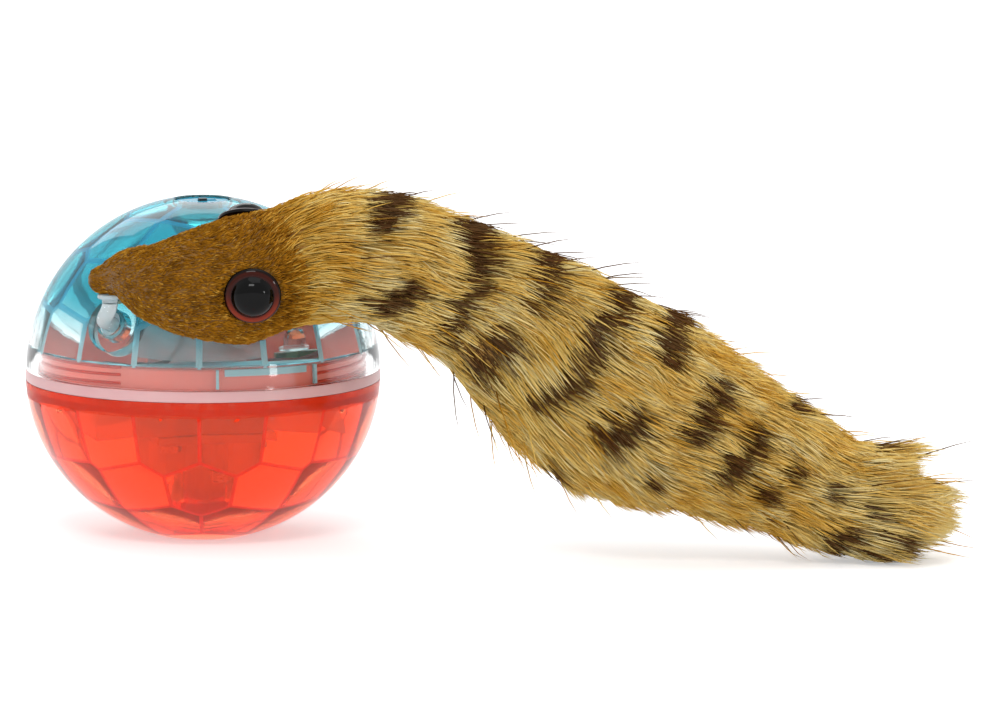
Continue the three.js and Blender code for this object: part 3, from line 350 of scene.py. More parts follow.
def in_frame(tree):
    """The place of each point, in metres from the frame's origin."""
    return node(tree, "ShaderNodeTexCoord").outputs["Object"]


def spotted(tree, size, detail=2.0):
    """Noise with spots of one size."""
    return node(tree, "ShaderNodeTexNoise", None,
                {"Vector": in_frame(tree), "Scale": 1 / size, "Detail": detail})


def ranged(tree, value, source, target, kind="LINEAR"):
    """Carries a value that lies between two numbers over to between two others."""
    return node(tree, "ShaderNodeMapRange", {"interpolation_type": kind},
                {"Value": value, "From Min": source[0], "From Max": source[1],
                 "To Min": target[0], "To Max": target[1]})


def blended(tree, factor, first, second, blend="MIX"):
    mixed = node(tree, "ShaderNodeMix", {"data_type": "RGBA", "blend_type": blend},
                 {"Factor": factor, "A": first, "B": second})
    return mixed.outputs["Result"]


def relief(tree, height, strength, distance):
    return node(tree, "ShaderNodeBump", None,
                {"Height": height, "Strength": strength, "Distance": distance})


def surfaced(material, inputs):
    """Gives a material its surface shader; inputs holds that shader's sockets."""
    tree = material.node_tree
    surface = node(tree, "ShaderNodeBsdfPrincipled", None, inputs)
    node(tree, "ShaderNodeOutputMaterial", None, {"Surface": surface})
    return material


def clear_plastic(name, tint, roughness=0.02, ior=1.32, haze=0.0, gate_tint=None):
    """Clear moulded plastic. Polished mould faces give it a sharp gloss; a slow ripple of the
    flow and fine scuffs break up the highlight. gate_tint is its paler colour near the seam."""
    material, tree = blank_material(name)
    ripple, scuff = spotted(tree, 9 * mm, 1.0), spotted(tree, 0.7 * mm, 3.0)
    colour = rgb(tint)
    if gate_tint:
        height = node(tree, "ShaderNodeSeparateXYZ", None, {0: in_frame(tree)})
        pale_to, full_from = centre.z + 7 * mm, centre.z + 22 * mm
        depth = ranged(tree, height.outputs["Z"], (pale_to, full_from), (0, 1), "SMOOTHSTEP")
        colour = blended(tree, depth, rgb(gate_tint), rgb(tint))
    return surfaced(material, {
        "Base Color": colour, "IOR": ior, "Transmission Weight": 1.0 - haze,
        "Roughness": ranged(tree, scuff, (0.5, 0.75), (roughness, roughness + 0.10)),
        "Normal": relief(tree, ripple, 0.05, 1.2 * mm)})


def lower_outside():
    return turned([(0, flat_low), *ball_arc(lower_depth, flat_low, lower_rim), (0, lower_rim)])


rim_ring = turned([(neck_inner, neck_root), (ball_radius, lower_rim - 4 * mm),
                   (ball_radius, lower_rim), (neck_inner, lower_rim)])
rim_ring = combined(rim_ring, "INTERSECT", lower_outside())
neck = turned([(neck_inner, neck_root), (neck_outer, neck_root),
               (neck_outer, neck_top - 0.5 * mm), (neck_outer - 0.15 * mm, neck_top - 0.15 * mm),
               (neck_outer - 0.5 * mm, neck_top), (neck_inner, neck_top)])
socket_boss = plug(boss_radius, flat_low, socket_top, 64, top=0.3 * mm)
hex_hole = plug(socket_half_flat / math.cos(degrees(30)), socket_floor, socket_top + 1 * mm, 6,
                Matrix.Rotation(degrees(30), 4, "Z"))
lower_shell = combined(lower_outside(), "DIFFERENCE",
                       faceted_hollow(12, lower_depth - shell_wall, facet_edge))
lower_shell = combined(lower_shell, "UNION", rim_ring, neck, socket_boss)
lower_shell = combined(lower_shell, "DIFFERENCE", hex_hole)
for face in lower_shell.faces:
    middle = face.calc_center_median()
    if middle.z > lower_rim + 0.1 * mm:
        face.material_index = thin_slot
    # Painted light: the inner faces of the thick rim take a hazier copy of the red, so that the rim
    # does not show as a dark band.
    elif middle.z > lower_rim - 4.4 * mm and middle.length < ball_radius - 0.6 * mm:
        face.material_index = rim_slot
# The facet-edge slot takes a deeper, hazier red: painted colour for the light that the rounded
# edges of the real core refract.
red_shell_looks = [clear_plastic("clear_red_polystyrene", "#FF7E50", haze=0.12),
                   clear_plastic("clear_red_polystyrene_facet_edge", "#EE3814", 0.05, haze=0.7),
                   clear_plastic("clear_red_polystyrene_neck", "#FF9384", haze=0.6),
                   clear_plastic("clear_red_polystyrene_rim", "#FF6238", 0.05, haze=0.7)]
piece("lower_half_shell", lower_shell, red_shell_looks, "lower_half",
      ["lower_shell"], smooth=4, matrix=in_ball)


# Thread on the neck: three starts of a low rounded rib, moulded with the lower half, on which
# the upper half is twisted home. They show as dark red lines through the clear skirt.
rib_radius = 0.36 * mm
rib_rise = 0.55 * mm
rib_steps = 28
rib_spans = [(-72, -28), (42, 82), (150, 200)]
rib_heights = [2.0 * mm, 3.9 * mm, 5.6 * mm]


def walled(bm, rows):
    """The faces between each ring of points and the next."""
    for low, high in zip(rows, rows[1:]):
        for k in range(len(low)):
            j = (k + 1) % len(low)
            bm.faces.new((low[k], low[j], high[j], high[k]))


def capped(bm, rows):
    """Walls and two end faces round rings of points, as a closed body."""
    walled(bm, rows)
    bm.faces.new(rows[0])
    bm.faces.new(rows[-1])
    bmesh.ops.recalc_face_normals(bm, faces=bm.faces)
    return bm


def swept(points, radius, sides):
    """A round bar along a list of points, with flat ends."""
    bm = bmesh.new()
    rows = []
    last = len(points) - 1
    for i, point in enumerate(points):
        way = (points[min(i + 1, last)] - points[max(i - 1, 0)]).normalized()
        side = way.cross(Vector((0, 0, 1)))
        if side.length < 1e-4:
            side = way.cross(Vector((0, 1, 0)))
        side.normalize()
        up = side.cross(way)
        rows.append([bm.verts.new(point + radius * (math.cos(a) * side + math.sin(a) * up))
                     for a in round_angles(sides)])
    return capped(bm, rows)


def merged(parts):
    """Several meshes as one, side by side."""
    whole = bmesh.new()
    for part in parts:
        mesh = bpy.data.meshes.new("working")
        part.to_mesh(mesh)
        part.free()
        whole.from_mesh(mesh)
        bpy.data.meshes.remove(mesh)
    return whole


def round_the_ball(azimuth, radius, height):
    """A point at an angle from the front, seen from the pole axis, in the frame."""
    a = degrees(azimuth - 90)
    return centre + Vector((radius * math.cos(a), radius * math.sin(a), height))


ribs = [swept([round_the_ball(first + (last - first) * i / rib_steps, neck_outer,
                              height + rib_rise * (i / rib_steps - 0.5))
               for i in range(rib_steps + 1)], rib_radius, 8)
        for first, last in rib_spans for height in rib_heights]
thread_red = clear_plastic("clear_red_polystyrene_thread", "#F0503A", 0.08, haze=0.4)
piece("neck_thread", merged(ribs), [thread_red], "lower_half", smooth=50)


# Seam gasket: a ring of pale translucent elastomer between the two rims, pressed so that it
# swells a little over both. Its satin surface scatters the colours of the halves, so it shows
# as a milky pink line.
gasket_round = 0.22 * mm
gasket_inner = neck_outer + seat
swell = 0.27 * mm
corner = [(ball_radius - gasket_round * (1 - math.sin(a)),
           gasket_half - gasket_round * (1 - math.cos(a)) + swell)
          for a in (degrees(90 - 15 * i) for i in range(7))]
gasket_profile = [(gasket_inner, -gasket_half - swell), *[(r, -h) for r, h in reversed(corner)],
                  *corner, (gasket_inner, gasket_half + swell)]
satin, tree = blank_material("frosted_elastomer_gasket")
surfaced(satin, {"Base Color": blended(tree, spotted(tree, 6 * mm), rgb("#F6BFC2"), rgb("#FBD2D0")),
                 "Roughness": 0.32, "IOR": 1.43, "Transmission Weight": 0.3})
piece("seam_ring", turned(gasket_profile, matrix=in_ball), [satin], "gasket_ring",
      ["seam_gasket"], smooth=40)


# Upper half of the ball: polystyrene moulded in clear blue, with the same faceted core. Below
# its shoulder a thin skirt hangs over the thread. A collar at the pole turns on the motor
# unit's journal, and a round cup low on one side takes the knob of the nose clip.
upper_rim = gasket_half + seat
upper_edge = 0.75 * mm
collar_radius = 8.5 * mm
collar_low = inner_radius - 2.6 * mm
journal_radius = 6.2 * mm
collar_bore = journal_radius + 0.3 * mm
cup_radius = 6.3 * mm
cup_back = ball_radius - 7 * mm
cup_floor = cup_back + 1.5 * mm
cup_bore = 3.6 * mm
cup_lip = 2.8 * mm
lip_low = ball_radius - 1.7 * mm
beyond = ball_radius + 4 * mm
clip_azimuth = degrees(236.3)
clip_elevation = degrees(23)
clip_way = Vector((math.cos(clip_azimuth) * math.cos(clip_elevation),
                   math.sin(clip_azimuth) * math.cos(clip_elevation), math.sin(clip_elevation)))
clip_axis = Vector((0, 0, 1)).rotation_difference(clip_way).to_matrix().to_4x4()


def upper_outside():
    return turned([(0, upper_rim), *ball_arc(ball_radius, upper_rim, ball_radius)])


upper_hollow = combined(faceted_hollow(15, inner_radius, upper_edge), "DIFFERENCE",
                        cuboid((-beyond, -beyond, -beyond), (beyond, beyond, shoulder - 0.6 * mm)))
skirt_hollow = turned([(0, upper_rim - 1 * mm), (skirt_bore, upper_rim - 1 * mm),
                       (skirt_bore, shoulder - 0.3 * mm), (skirt_bore - 0.3 * mm, shoulder),
                       (0, shoulder)])
upper_shell = combined(upper_outside(), "DIFFERENCE", combined(upper_hollow, "UNION", skirt_hollow))
collar = plug(collar_radius, collar_low, beyond, 96, foot=0.3 * mm)
cup = plug(cup_radius, cup_back, beyond, 96, clip_axis, foot=0.6 * mm)
upper_shell = combined(upper_shell, "UNION", *(combined(added, "INTERSECT", upper_outside())
                                               for added in (collar, cup)))
collar_top = ball_radius + 0.3 * mm
collar_hole = turned([(0, inner_radius / 2), (collar_bore, inner_radius / 2),
                      (collar_bore, ball_radius - 0.9 * mm), (collar_bore + 1.2 * mm, collar_top),
                      (0, collar_top)], 96)
cup_hole = turned([(0, cup_floor), (cup_bore, cup_floor), (cup_bore, lip_low), (cup_lip, lip_low),
                   (cup_lip, ball_radius - 0.85 * mm), (cup_bore, ball_radius + 1 * mm),
                   (0, ball_radius + 1 * mm)], 64, clip_axis)
upper_shell = combined(upper_shell, "DIFFERENCE", collar_hole, cup_hole)
for face in upper_shell.faces:
    if face.calc_center_median().z < shoulder - 0.4 * mm:
        face.material_index = thin_slot
# The facet-edge slot takes a deeper, hazier blue: painted colour for the light that the rounded
# edges of the real core refract.
blue_edge = clear_plastic("clear_blue_polystyrene_facet_edge", "#18BCE0", 0.05, haze=0.75,
                          gate_tint="#B4DCE2")
blue_shell_looks = [clear_plastic("clear_blue_polystyrene", "#3AB4C2", haze=0.06,
                                  gate_tint="#E6EEEE"),
                    blue_edge, clear_plastic("clear_blue_polystyrene_skirt", "#F8FAFA")]
piece("upper_half_shell", upper_shell, blue_shell_looks, "upper_half",
      ["upper_shell"], smooth=4, matrix=in_ball)


# Locking lug: a short flat bar moulded inside the skirt. It runs past the end of the thread when
# the ball is twisted shut, and two upright ribs stop it there.
lug_inner, lug_outer = 38.45 * mm, skirt_bore + 0.2 * mm
bar_low, upright_low, lug_high = 4.5 * mm, 1.6 * mm, 6.0 * mm


def bowed_bar(first, last, low, steps):
    """A bar that follows the wall from one angle to another."""
    bm = bmesh.new()
    section = ((lug_inner, low), (lug_outer, low), (lug_outer, lug_high), (lug_inner, lug_high))
    return capped(bm, [[bm.verts.new(round_the_ball(first + (last - first) * i / steps, r, h))
                        for r, h in section] for i in range(steps + 1)])


lug_bars = [bowed_bar(8.5, 38, bar_low, 16), bowed_bar(5.6, 6.6, upright_low, 2),
            bowed_bar(41.2, 42.4, upright_low, 2)]
lug_blue = clear_plastic("clear_blue_polystyrene_lug", "#C4F0F6", 0.04, haze=0.45)
piece("locking_lug", merged(lug_bars), [lug_blue], "upper_half")


# Motor unit: clear natural mouldings with the works between them. The unit turns about the pole
# axis on the shaft in the lower half and on the journal in the upper half.
unit_turn = 12.6
unit_place = in_ball @ Matrix.Rotation(degrees(unit_turn), 4, "Z")


def natural_polystyrene(name, clearest, milkiest):
    """Uncoloured polystyrene, thin enough to see through and milkier in soft patches."""
    material, tree = blank_material(name)
    cloudy = ranged(tree, spotted(tree, 8 * mm), (0, 1), (clearest, milkiest))
    return surfaced(material, {"Base Color": rgb("#F8F9F8"), "Roughness": 0.12, "IOR": 1.49,
                               "Alpha": cloudy})


def finish_nodes(material, *names):
    """Gives CAD nodes a finish; their meshes stay as they are."""
    for name in names:
        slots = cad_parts[name].data.materials
        slots.clear()
        slots.append(material)


natural_clear = natural_polystyrene("clear_natural_polystyrene", 0.2, 0.42)
natural_milky = natural_polystyrene("milky_natural_polystyrene", 0.35, 0.55)
finish_nodes(natural_milky, "gear_case", "deck_plate", "battery_tray")


# Motor cover: a clear round cap that stands on the deck over the motor, domed at its shoulder and
# drawn in to the journal. Its front is cut away for the cell, and two ears take case screws.
cover_radius, cover_wall = 17 * mm, 1.3 * mm
cover_low, cover_open, cover_front = -11.95 * mm, 5.15 * mm, -1.75 * mm
cover_straight, cover_shoulder = 13.65 * mm, 6.5 * mm
journal_top = 38.3 * mm
journal_bore = journal_radius - 1.3 * mm
ear_angles = (40, 140)
ear_distance, ear_radius, ear_height, screw_hole = 16.4 * mm, 2.6 * mm, 1.4 * mm, 1.2 * mm
past = 1 * mm


def cover_form(radius, neck_radius, drop, low, top):
    dome = [(neck_radius + (radius - neck_radius) * math.cos(degrees(a)),
             cover_straight - drop + cover_shoulder * math.sin(degrees(a)))
            for a in range(0, 91, 9)]
    return turned([(0, low), (radius, low), *dome, (neck_radius, top), (0, top)], 96)


def on_ears(radius, low, high, steps, top=0):
    """A plug on each ear."""
    return [plug(radius, low, high, steps, Matrix.Rotation(degrees(angle), 4, "Z")
                 @ Matrix.Translation((ear_distance, 0, 0)), top=top) for angle in ear_angles]


cover = combined(cover_form(cover_radius, journal_radius, 0, cover_low, journal_top), "UNION",
                 *on_ears(ear_radius, cover_low, cover_low + ear_height, 32, 0.2 * mm))
cover = combined(cover, "DIFFERENCE",
                 cover_form(cover_radius - cover_wall, journal_bore, cover_wall,
                            cover_low - past, journal_top + past),
                 cuboid((-beyond, -beyond, cover_low - past), (beyond, cover_front, cover_open)),
                 *on_ears(screw_hole, cover_low - past, cover_low + 3 * mm, 24))
piece("motor_cap_cover", cover, [natural_clear], "drive_unit",
      ["motor_cover"], smooth=35, matrix=unit_place)


# Cell: a steel can of AA size in a plain foil sleeve that is rolled over both ends, with a pale
# sealing washer round the pressed nub.
cell_start, cell_length = 3.75 * mm, 50.5 * mm
cell_end = cell_start + cell_length
cell_at = (unit_place @ Matrix.Translation((-28.375 * mm, -11 * mm, -3 * mm))
           @ Matrix.Rotation(degrees(90), 4, "Y"))
# Radius and distance from the start, then from the end, in mm; then each row's material slot.
cell_foot = [(0, 0), (5.4, 0), (5.7, 0.3), (6.3, 0.3), (6.9, 0.1), (7.25, 0.5)]
cell_head = [(7.25, 2.0), (7.0, 1.55), (6.5, 1.25), (5.9, 1.45), (3.4, 1.45), (2.7, 1.25),
             (2.65, 0.3), (2.4, 0), (0, 0)]
cell_profile = [*((r * mm, cell_start + h * mm) for r, h in cell_foot),
                *((r * mm, cell_end - h * mm) for r, h in cell_head)]
cell_bands = [1, 1, 1, 0, 0, 0, 0, 0, 0, 2, 1, 1, 1, 1]

foil_sleeve, tree = blank_material("plain_foil_sleeve")
crinkle = spotted(tree, 5 * mm, 3.0)
surfaced(foil_sleeve, {"Base Color": blended(tree, crinkle, rgb("#C6C9CD"), rgb("#E6E8EA")),
                       "Metallic": 0.75, "Roughness": 0.3,
                       "Normal": relief(tree, crinkle, 0.12, 0.4 * mm)})


def plated_metal(name, tint, roughness):
    """Plated or drawn metal: fine streaks along the working direction and a slight haze."""
    material, tree = blank_material(name)
    stretch = node(tree, "ShaderNodeMapping", None,
                   {"Vector": in_frame(tree), "Scale": (900, 900, 5000)})
    streak = node(tree, "ShaderNodeTexNoise", None,
                  {"Vector": stretch, "Scale": 1.0, "Detail": 2.0})
    shade = blended(tree, 0.25, rgb(tint), streak.outputs["Color"], "MULTIPLY")
    rough = ranged(tree, streak, (0, 1), (roughness - 0.06, roughness + 0.12))
    return surfaced(material, {"Base Color": shade, "Metallic": 1.0, "Roughness": rough})


def moulded(name, tint, roughness):
    """Opaque injection-moulded plastic: a fine spark-eroded grain and a faint cloudiness."""
    material, tree = blank_material(name)
    fine, cloud = spotted(tree, 0.6 * mm), spotted(tree, 14 * mm)
    shade = blended(tree, 0.10, rgb(tint), cloud.outputs["Color"], "MULTIPLY")
    rough = ranged(tree, cloud, (0, 1), (roughness - 0.06, roughness + 0.08))
    return surfaced(material, {"Base Color": shade, "Roughness": rough,
                               "Normal": relief(tree, fine, 0.3, 0.05 * mm)})


cell_steel = plated_metal("nickel_plated_steel", "#CFCBC2", 0.24)
cell_washer = moulded("pale_sealing_washer", "#E9E3CF", 0.4)
piece("aa_size_cell", turned(cell_profile, 96, cell_at, cell_bands),
      [foil_sleeve, cell_steel, cell_washer], "drive_unit", ["battery_cell"])


# Motor: a drawn steel can with two flat sides and a boss for its bearing, zinc plated, closed
# by a white end cap with two brass tabs. The can's edges are rolled.
motor_at = Matrix.Translation((0, 6.3 * mm, 0))
motor_low, motor_high = -11.95 * mm, 10.15 * mm
can_radius, can_half_flat, can_rolled = 10 * mm, 7.55 * mm, 0.6 * mm

outline = [(can_radius * math.cos(a),
            max(-can_half_flat, min(can_half_flat, can_radius * math.sin(a))))
           for a in round_angles(64)]
can = bmesh.new()
rows = []
for shrink, height in ((1, motor_low), (0.3, motor_low + can_rolled * 0.3),
                       (0, motor_low + can_rolled), (0, motor_high - can_rolled),
                       (0.3, motor_high - can_rolled * 0.3), (1, motor_high)):
    share = 1 - can_rolled * shrink / can_radius
    rows.append([can.verts.new((x * share, y * share, height)) for x, y in outline])
bmesh.ops.transform(capped(can, rows), matrix=motor_at, verts=can.verts)
can = combined(can, "UNION", plug(3 * mm, motor_low - 1.2 * mm, motor_low + 1 * mm, 48, motor_at,
                                  foot=0.3 * mm))
can = combined(can, "DIFFERENCE", plug(1.3 * mm, motor_low - 2 * mm, motor_low + 3.3 * mm, 32,
                                       motor_at))
zinc_can = plated_metal("zinc_plated_steel_can", "#D6DADE", 0.3)
piece("motor_can_shell", can, [zinc_can], "drive_unit", ["motor_can"], smooth=35,
      matrix=unit_place)


# The rest of the works keep their CAD shapes: acetal gears and shaft, steel pins and screws,
# brass tabs, bush and pinion, sprung contacts, the lamp board and the insulated wires.
finish_nodes(moulded("white_acetal", "#ECEAE2", 0.35),
             "output_shaft", "output_gear", "first_gear", "second_gear")
finish_nodes(moulded("white_abs", "#E9EAE7", 0.3), "motor_cap", "near_eye_washer", "far_eye_washer")
finish_nodes(moulded("black_abs", "#1D1E20", 0.45), "switch_slider")
finish_nodes(plated_metal("drawn_brass", "#C9A24C", 0.28),
             "motor_terminal_left", "motor_terminal_right", "output_bush", "motor_pinion")
finish_nodes(plated_metal("zinc_plated_steel_screw", "#C4C7CB", 0.26),
             "first_pin", "second_pin", "motor_shaft", "case_screw_1", "case_screw_2",
             "case_screw_3", "tray_screw_1", "tray_screw_2")
finish_nodes(cell_steel, "plate_contact", "coil_contact", "switch_body")
finish_nodes(clear_plastic("clear_epoxy_lamp", "#EAF4F4", 0.02, 1.52), "lamp_left", "lamp_right")
finish_nodes(moulded("red_pvc_insulation", "#C0261C", 0.42), "red_wire", "motor_wire")
finish_nodes(moulded("black_pvc_insulation", "#26272A", 0.42), "black_wire")

# Glass-fibre board: green solder mask over copper tracks that show as lighter bars.
solder_mask, tree = blank_material("green_solder_mask")
turn = node(tree, "ShaderNodeMapping", None,
            {"Vector": in_frame(tree), "Rotation": (0, 0, degrees(-unit_turn))})
track = node(tree, "ShaderNodeTexWave", {"wave_type": "BANDS", "bands_direction": "X"},
             {"Vector": turn, "Scale": 1 / (12 * mm), "Distortion": 0.0})
bars = ranged(tree, track.outputs["Fac"], (0.55, 0.7), (0, 1), "SMOOTHSTEP")
surfaced(solder_mask, {"Base Color": blended(tree, bars, rgb("#2A6B45"), rgb("#5FA070")),
                       "Roughness": 0.28})
finish_nodes(solder_mask, "light_board")


# Switch cap: a clear disc pressed into the journal at the upper pole, flush in the collar, with
# a slot through which the slider's end stands out. Its rim is chamfered.
cap_low, cap_high = 38.6 * mm, 40.0 * mm
slot_half, slot_reach = 1.2 * mm, 3.2 * mm
cap = combined(plug(journal_radius, cap_low, cap_high, 96, foot=0.2 * mm, top=0.3 * mm),
               "DIFFERENCE", cuboid((-slot_half, -slot_half, cap_low - past),
                                    (slot_reach, slot_half, cap_high + past)))
piece("switch_cover_cap", cap, [blue_edge], "drive_unit",
      ["switch_cap"], smooth=35, matrix=unit_place)


# Stuffed weasel: a tube of long-pile fabric, sewn shut and stuffed, with a cone of short-pile
# fabric for the head. Both follow one line from nose to tail; the fabric itself lies a little
# under the outline that the pile's tips make. It is pressed in round the eyes.
plush_length, plush_girth = 203 * mm, 46 * mm
plush_plane = ball_radius + 1 * mm
plush_gap, tail_press, nose_reach = 0.6 * mm, 0.5 * mm, 25.9 * mm
velour_depth, pile_depth, thinnest, ball_gap = 0.9 * mm, 2.1 * mm, 0.4 * mm, 0.45 * mm
head_end, body_start, body_end = 5.5, 5.2, 16.1
end_reach, end_stations = 0.75, 0.2
lump_size, lump_rise, swirl_size, swirl_turn = 11 * mm, 0.045, 16 * mm, degrees(38)
fork_from, fork_share = 14.8, 0.9
fork_up, fork_down = Vector((0.6, 0, 0.26)), Vector((0.9, 0, -0.22))
eye_radius, eye_sink, shank_depth = 6.5 * mm, 1.7 * mm, 6 * mm
press_from, press_to, press_rise = 6.9, 9.5, 3.2 * mm
# Shares of the length along it, of the ball's height, of the distance in front and of the girth.
weasel_shares = [
    (0.014, 0.811, 0.833, 0.16), (0.0443, 0.829, 0.893, 0.287), (0.0842, 0.82, 0.95, 0.446),
    (0.1241, 0.823, 1, 0.567), (0.1695, 0.835, 1, 0.65), (0.2266, 0.87, 1, 0.68),
    (0.2803, 0.89, 1, 0.666), (0.3346, 0.88, 1, 0.68), (0.3893, 0.8283, 1, 0.69),
    (0.4325, 0.7778, 1, 0.743), (0.4825, 0.6946, 1, 0.864), (0.5417, 0.5786, 1, 1),
    (0.61, 0.4657, 1, 0.984), (0.6794, 0.3913, 1, 0.833), (0.7533, 0.3081, 1, 0.683),
    (0.8227, 0.2189, 1, 0.592), (0.8819, 0.1714, 1, 0.582), (0.9274, 0.1476, 1, 0.462),
    (0.9672, 0.1506, 1, 0.271)]
last_station = len(weasel_shares) - 1
weasel_middles, weasel_radii = [], []
for along, high, front, thick in weasel_shares:
    radius = thick * plush_girth / 2
    x = along * plush_length - nose_reach
    z = max(high * (centre.z + ball_radius), radius - tail_press) - centre.z
    clear = (ball_radius + radius + plush_gap) ** 2 - x ** 2 - z ** 2
    y = -max(front * plush_plane, math.sqrt(max(clear, 0)))
    weasel_middles.append(centre + Vector((x, y, z)))
    weasel_radii.append(radius)


def between(p1, p2, t1, t2, share):
    """A point of the cubic from p1 to p2 whose slopes there are t1 and t2."""
    return (p1 + t1 * share + (3 * (p2 - p1) - 2 * t1 - t2) * share ** 2
            + (2 * (p1 - p2) + t1 + t2) * share ** 3)


def curve_at(points, t):
    """A point of the smooth curve through a list of points; t counts the points passed."""
    last = len(points) - 1
    first = min(int(t), last - 1)
    p1, p2 = points[first], points[first + 1]
    p0 = points[first - 1] if first > 0 else 2 * p1 - p2
    p3 = points[first + 2] if first + 2 <= last else 2 * p2 - p1
    d0, d1, d2 = (max((b - a).length, 1e-9) ** 0.5 for a, b in ((p0, p1), (p1, p2), (p2, p3)))
    t1 = ((p1 - p0) / d0 - (p2 - p0) / (d0 + d1) + (p2 - p1) / d1) * d1
    t2 = ((p2 - p1) / d1 - (p3 - p1) / (d1 + d2) + (p3 - p2) / d2) * d1
    return between(p1, p2, t1, t2, t - first)


def weasel_at(station):
    """The body's middle, its way towards the tail and its outline's radius at a station."""
    step = 0.01
    ahead = curve_at(weasel_middles, min(station + step, last_station))
    behind = curve_at(weasel_middles, max(station - step, 0))
    i = min(int(station), last_station - 1)
    r0, r1, r2, r3 = (weasel_radii[max(0, min(last_station, k))] for k in range(i - 1, i + 3))
    radius = between(r1, r2, (r2 - r0) / 2, (r3 - r1) / 2, station - i)
    return curve_at(weasel_middles, station), (ahead - behind).normalized(), radius


def station_of(share):
    """Where the body's line passes a place along its length."""
    low, high = 0.0, float(last_station)
    for _ in range(40):
        half = (low + high) / 2
        if curve_at(weasel_middles, half).x < share * plush_length - nose_reach:
            low = half
        else:
            high = half
    return low


def eye_stand(share, angle):
    """The matrix that stands an eye, turned about Z, in the head at a place and an angle."""
    middle, _, radius = weasel_at(station_of(share))
    out = Vector((0, -math.cos(degrees(angle)), math.sin(degrees(angle))))
    turn = Vector((0, 0, 1)).rotation_difference(out).to_matrix().to_4x4()
    return Matrix.Translation(middle + out * (radius - eye_sink)) @ turn


eye_stands = {"near_eye": eye_stand(0.19, -11), "far_eye": eye_stand(0.181, 118)}


def smooth_share(value, low, high):
    share = max(0.0, min(1.0, (value - low) / (high - low)))
    return share * share * (3 - 2 * share)


def rounded(end, side):
    """Rings that close an end of the fabric with a dome."""
    middle, way, radius, station = end
    reach = radius * end_reach
    return [(middle + way * side * reach * math.sin(degrees(a)), way,
             radius * math.cos(degrees(a)), station + side * end_stations * math.sin(degrees(a)))
            for a in (12, 24, 36, 48, 60, 70, 78, 84, 88)]


def laid_round(point):
    """A point of the fabric, pressed in by the eyes and kept off the floor and the ball."""
    for stand in eye_stands.values():
        local = stand.inverted() @ point
        if local.z < -shank_depth:
            continue
        off = math.hypot(local.x, local.y) / mm
        limit = -0.15 * mm + press_rise * smooth_share(off, press_from, press_to)
        if off < press_to and local.z > limit:
            local.z = limit
            point = stand @ local
    point.z = max(point.z, thinnest)
    out = point - centre
    if out.length < ball_radius + ball_gap:
        point = centre + out.normalized() * (ball_radius + ball_gap)
    return point


def stuffed_skin(first, last, sides, step):
    """The fabric's surface from one station to another, with rounded ends, as a closed mesh.
    Each point keeps its station, the way that the pile is brushed and the pile's length share."""
    bm = bmesh.new()
    station_layer = bm.verts.layers.float.new("station")
    flow_layer = bm.verts.layers.float_vector.new("flow")
    reach_layer = bm.verts.layers.float.new("reach")
    rings = []
    count = math.ceil((last - first) / step)
    for i in range(count + 1):
        station = first + (last - first) * i / count
        middle, way, radius = weasel_at(station)
        deep = max(0.0, min(1.0, (middle.x / mm - 8) / 10))
        radius -= velour_depth + (pile_depth - velour_depth) * deep
        rings.append((middle, way, max(radius, thinnest), station))
    rings = rounded(rings[0], -1)[::-1] + rings + rounded(rings[-1], 1)
    rows = []
    for middle, way, radius, station in rings:
        side = Vector((0, 1, 0)).cross(way).normalized()
        across = way.cross(side)
        split = smooth_share(station, fork_from, body_end)
        row = []
        for a in round_angles(sides):
            out = side * math.cos(a) + across * math.sin(a)
            lump = noise.noise((middle + out * radius) / lump_size) * lump_rise
            vert = bm.verts.new(middle + out * radius * (1 + lump))
            swirl = noise.noise((vert.co + Vector((3, 5, 7))) / swirl_size) * swirl_turn
            brushed = Matrix.Rotation(swirl, 3, out) @ way
            fork = fork_up if out.z > 0.4 else fork_down
            vert[station_layer] = station
            vert[flow_layer] = (brushed + fork * split * fork_share).normalized()
            vert[reach_layer] = (0.45 + 0.55 * smooth_share(vert.co.x / mm, 13, 30)
                                 + 0.35 * smooth_share(station, 15.2, 16.2))
            row.append(vert)
        rows.append(row)
    capped(bm, rows)
    for vert in bm.verts:
        vert.co = laid_round(vert.co.copy())
    return bm


def pile_backing(name, dark, light):
    """The knitted ground of the pile: a dull, close weave that shows only between the strands."""
    material, tree = blank_material(name)
    knit = spotted(tree, 0.8 * mm, 4.0)
    return surfaced(material, {"Base Color": blended(tree, knit, rgb(dark), rgb(light)),
                               "Roughness": 0.9, "Sheen Weight": 0.3,
                               "Normal": relief(tree, knit, 0.6, 0.3 * mm)})


head_ground = pile_backing("brushed_velour_ground", "#5E3A08", "#94661A")
body_ground = pile_backing("long_pile_ground", "#7A5214", "#A67C30")
head_skin = piece("head_fabric", stuffed_skin(0, head_end, 64, 0.06), [head_ground], "plush_toy",
                  ["plush_head"], smooth=60)
body_skin = piece("body_fabric", stuffed_skin(body_start, body_end, 80, 0.08), [body_ground],
                  "plush_toy", ["plush_forebody", "plush_hindbody", "plush_tail"],
                  smooth=60)


# Eyes: pressed safety eyes with a shank. A black glass-smooth dome sits in a broad red-brown
# rim, darker at its edge, all under one thick gloss. Painted shade darkens the eye towards its top.
eye_profile = [(0, -6.5), (1.8, -6.5), (1.8, 0), (6.3, 0), (6.5, 0.25), (6.5, 0.75), (6.35, 1.0),
               (6.0, 1.25), (5.5, 1.5), (5.05, 1.65), (4.85, 1.62), (4.7, 1.8), (4.4, 2.35),
               (3.9, 2.95), (3.2, 3.45), (2.4, 3.8), (1.6, 4.0), (0.8, 4.1), (0, 4.13)]
eye_profile = [(r * mm, h * mm) for r, h in eye_profile]


def colour_ramp(tree, value, stops):
    """A ramp of (position, colour) stops; the first is at 0 and the last at 1."""
    made = node(tree, "ShaderNodeValToRGB", None, {"Fac": value})
    elements = made.color_ramp.elements
    elements[0].color, elements[1].color = rgb(stops[0][1]), rgb(stops[-1][1])
    for position, code in stops[1:-1]:
        elements.new(position).color = rgb(code)
    return made


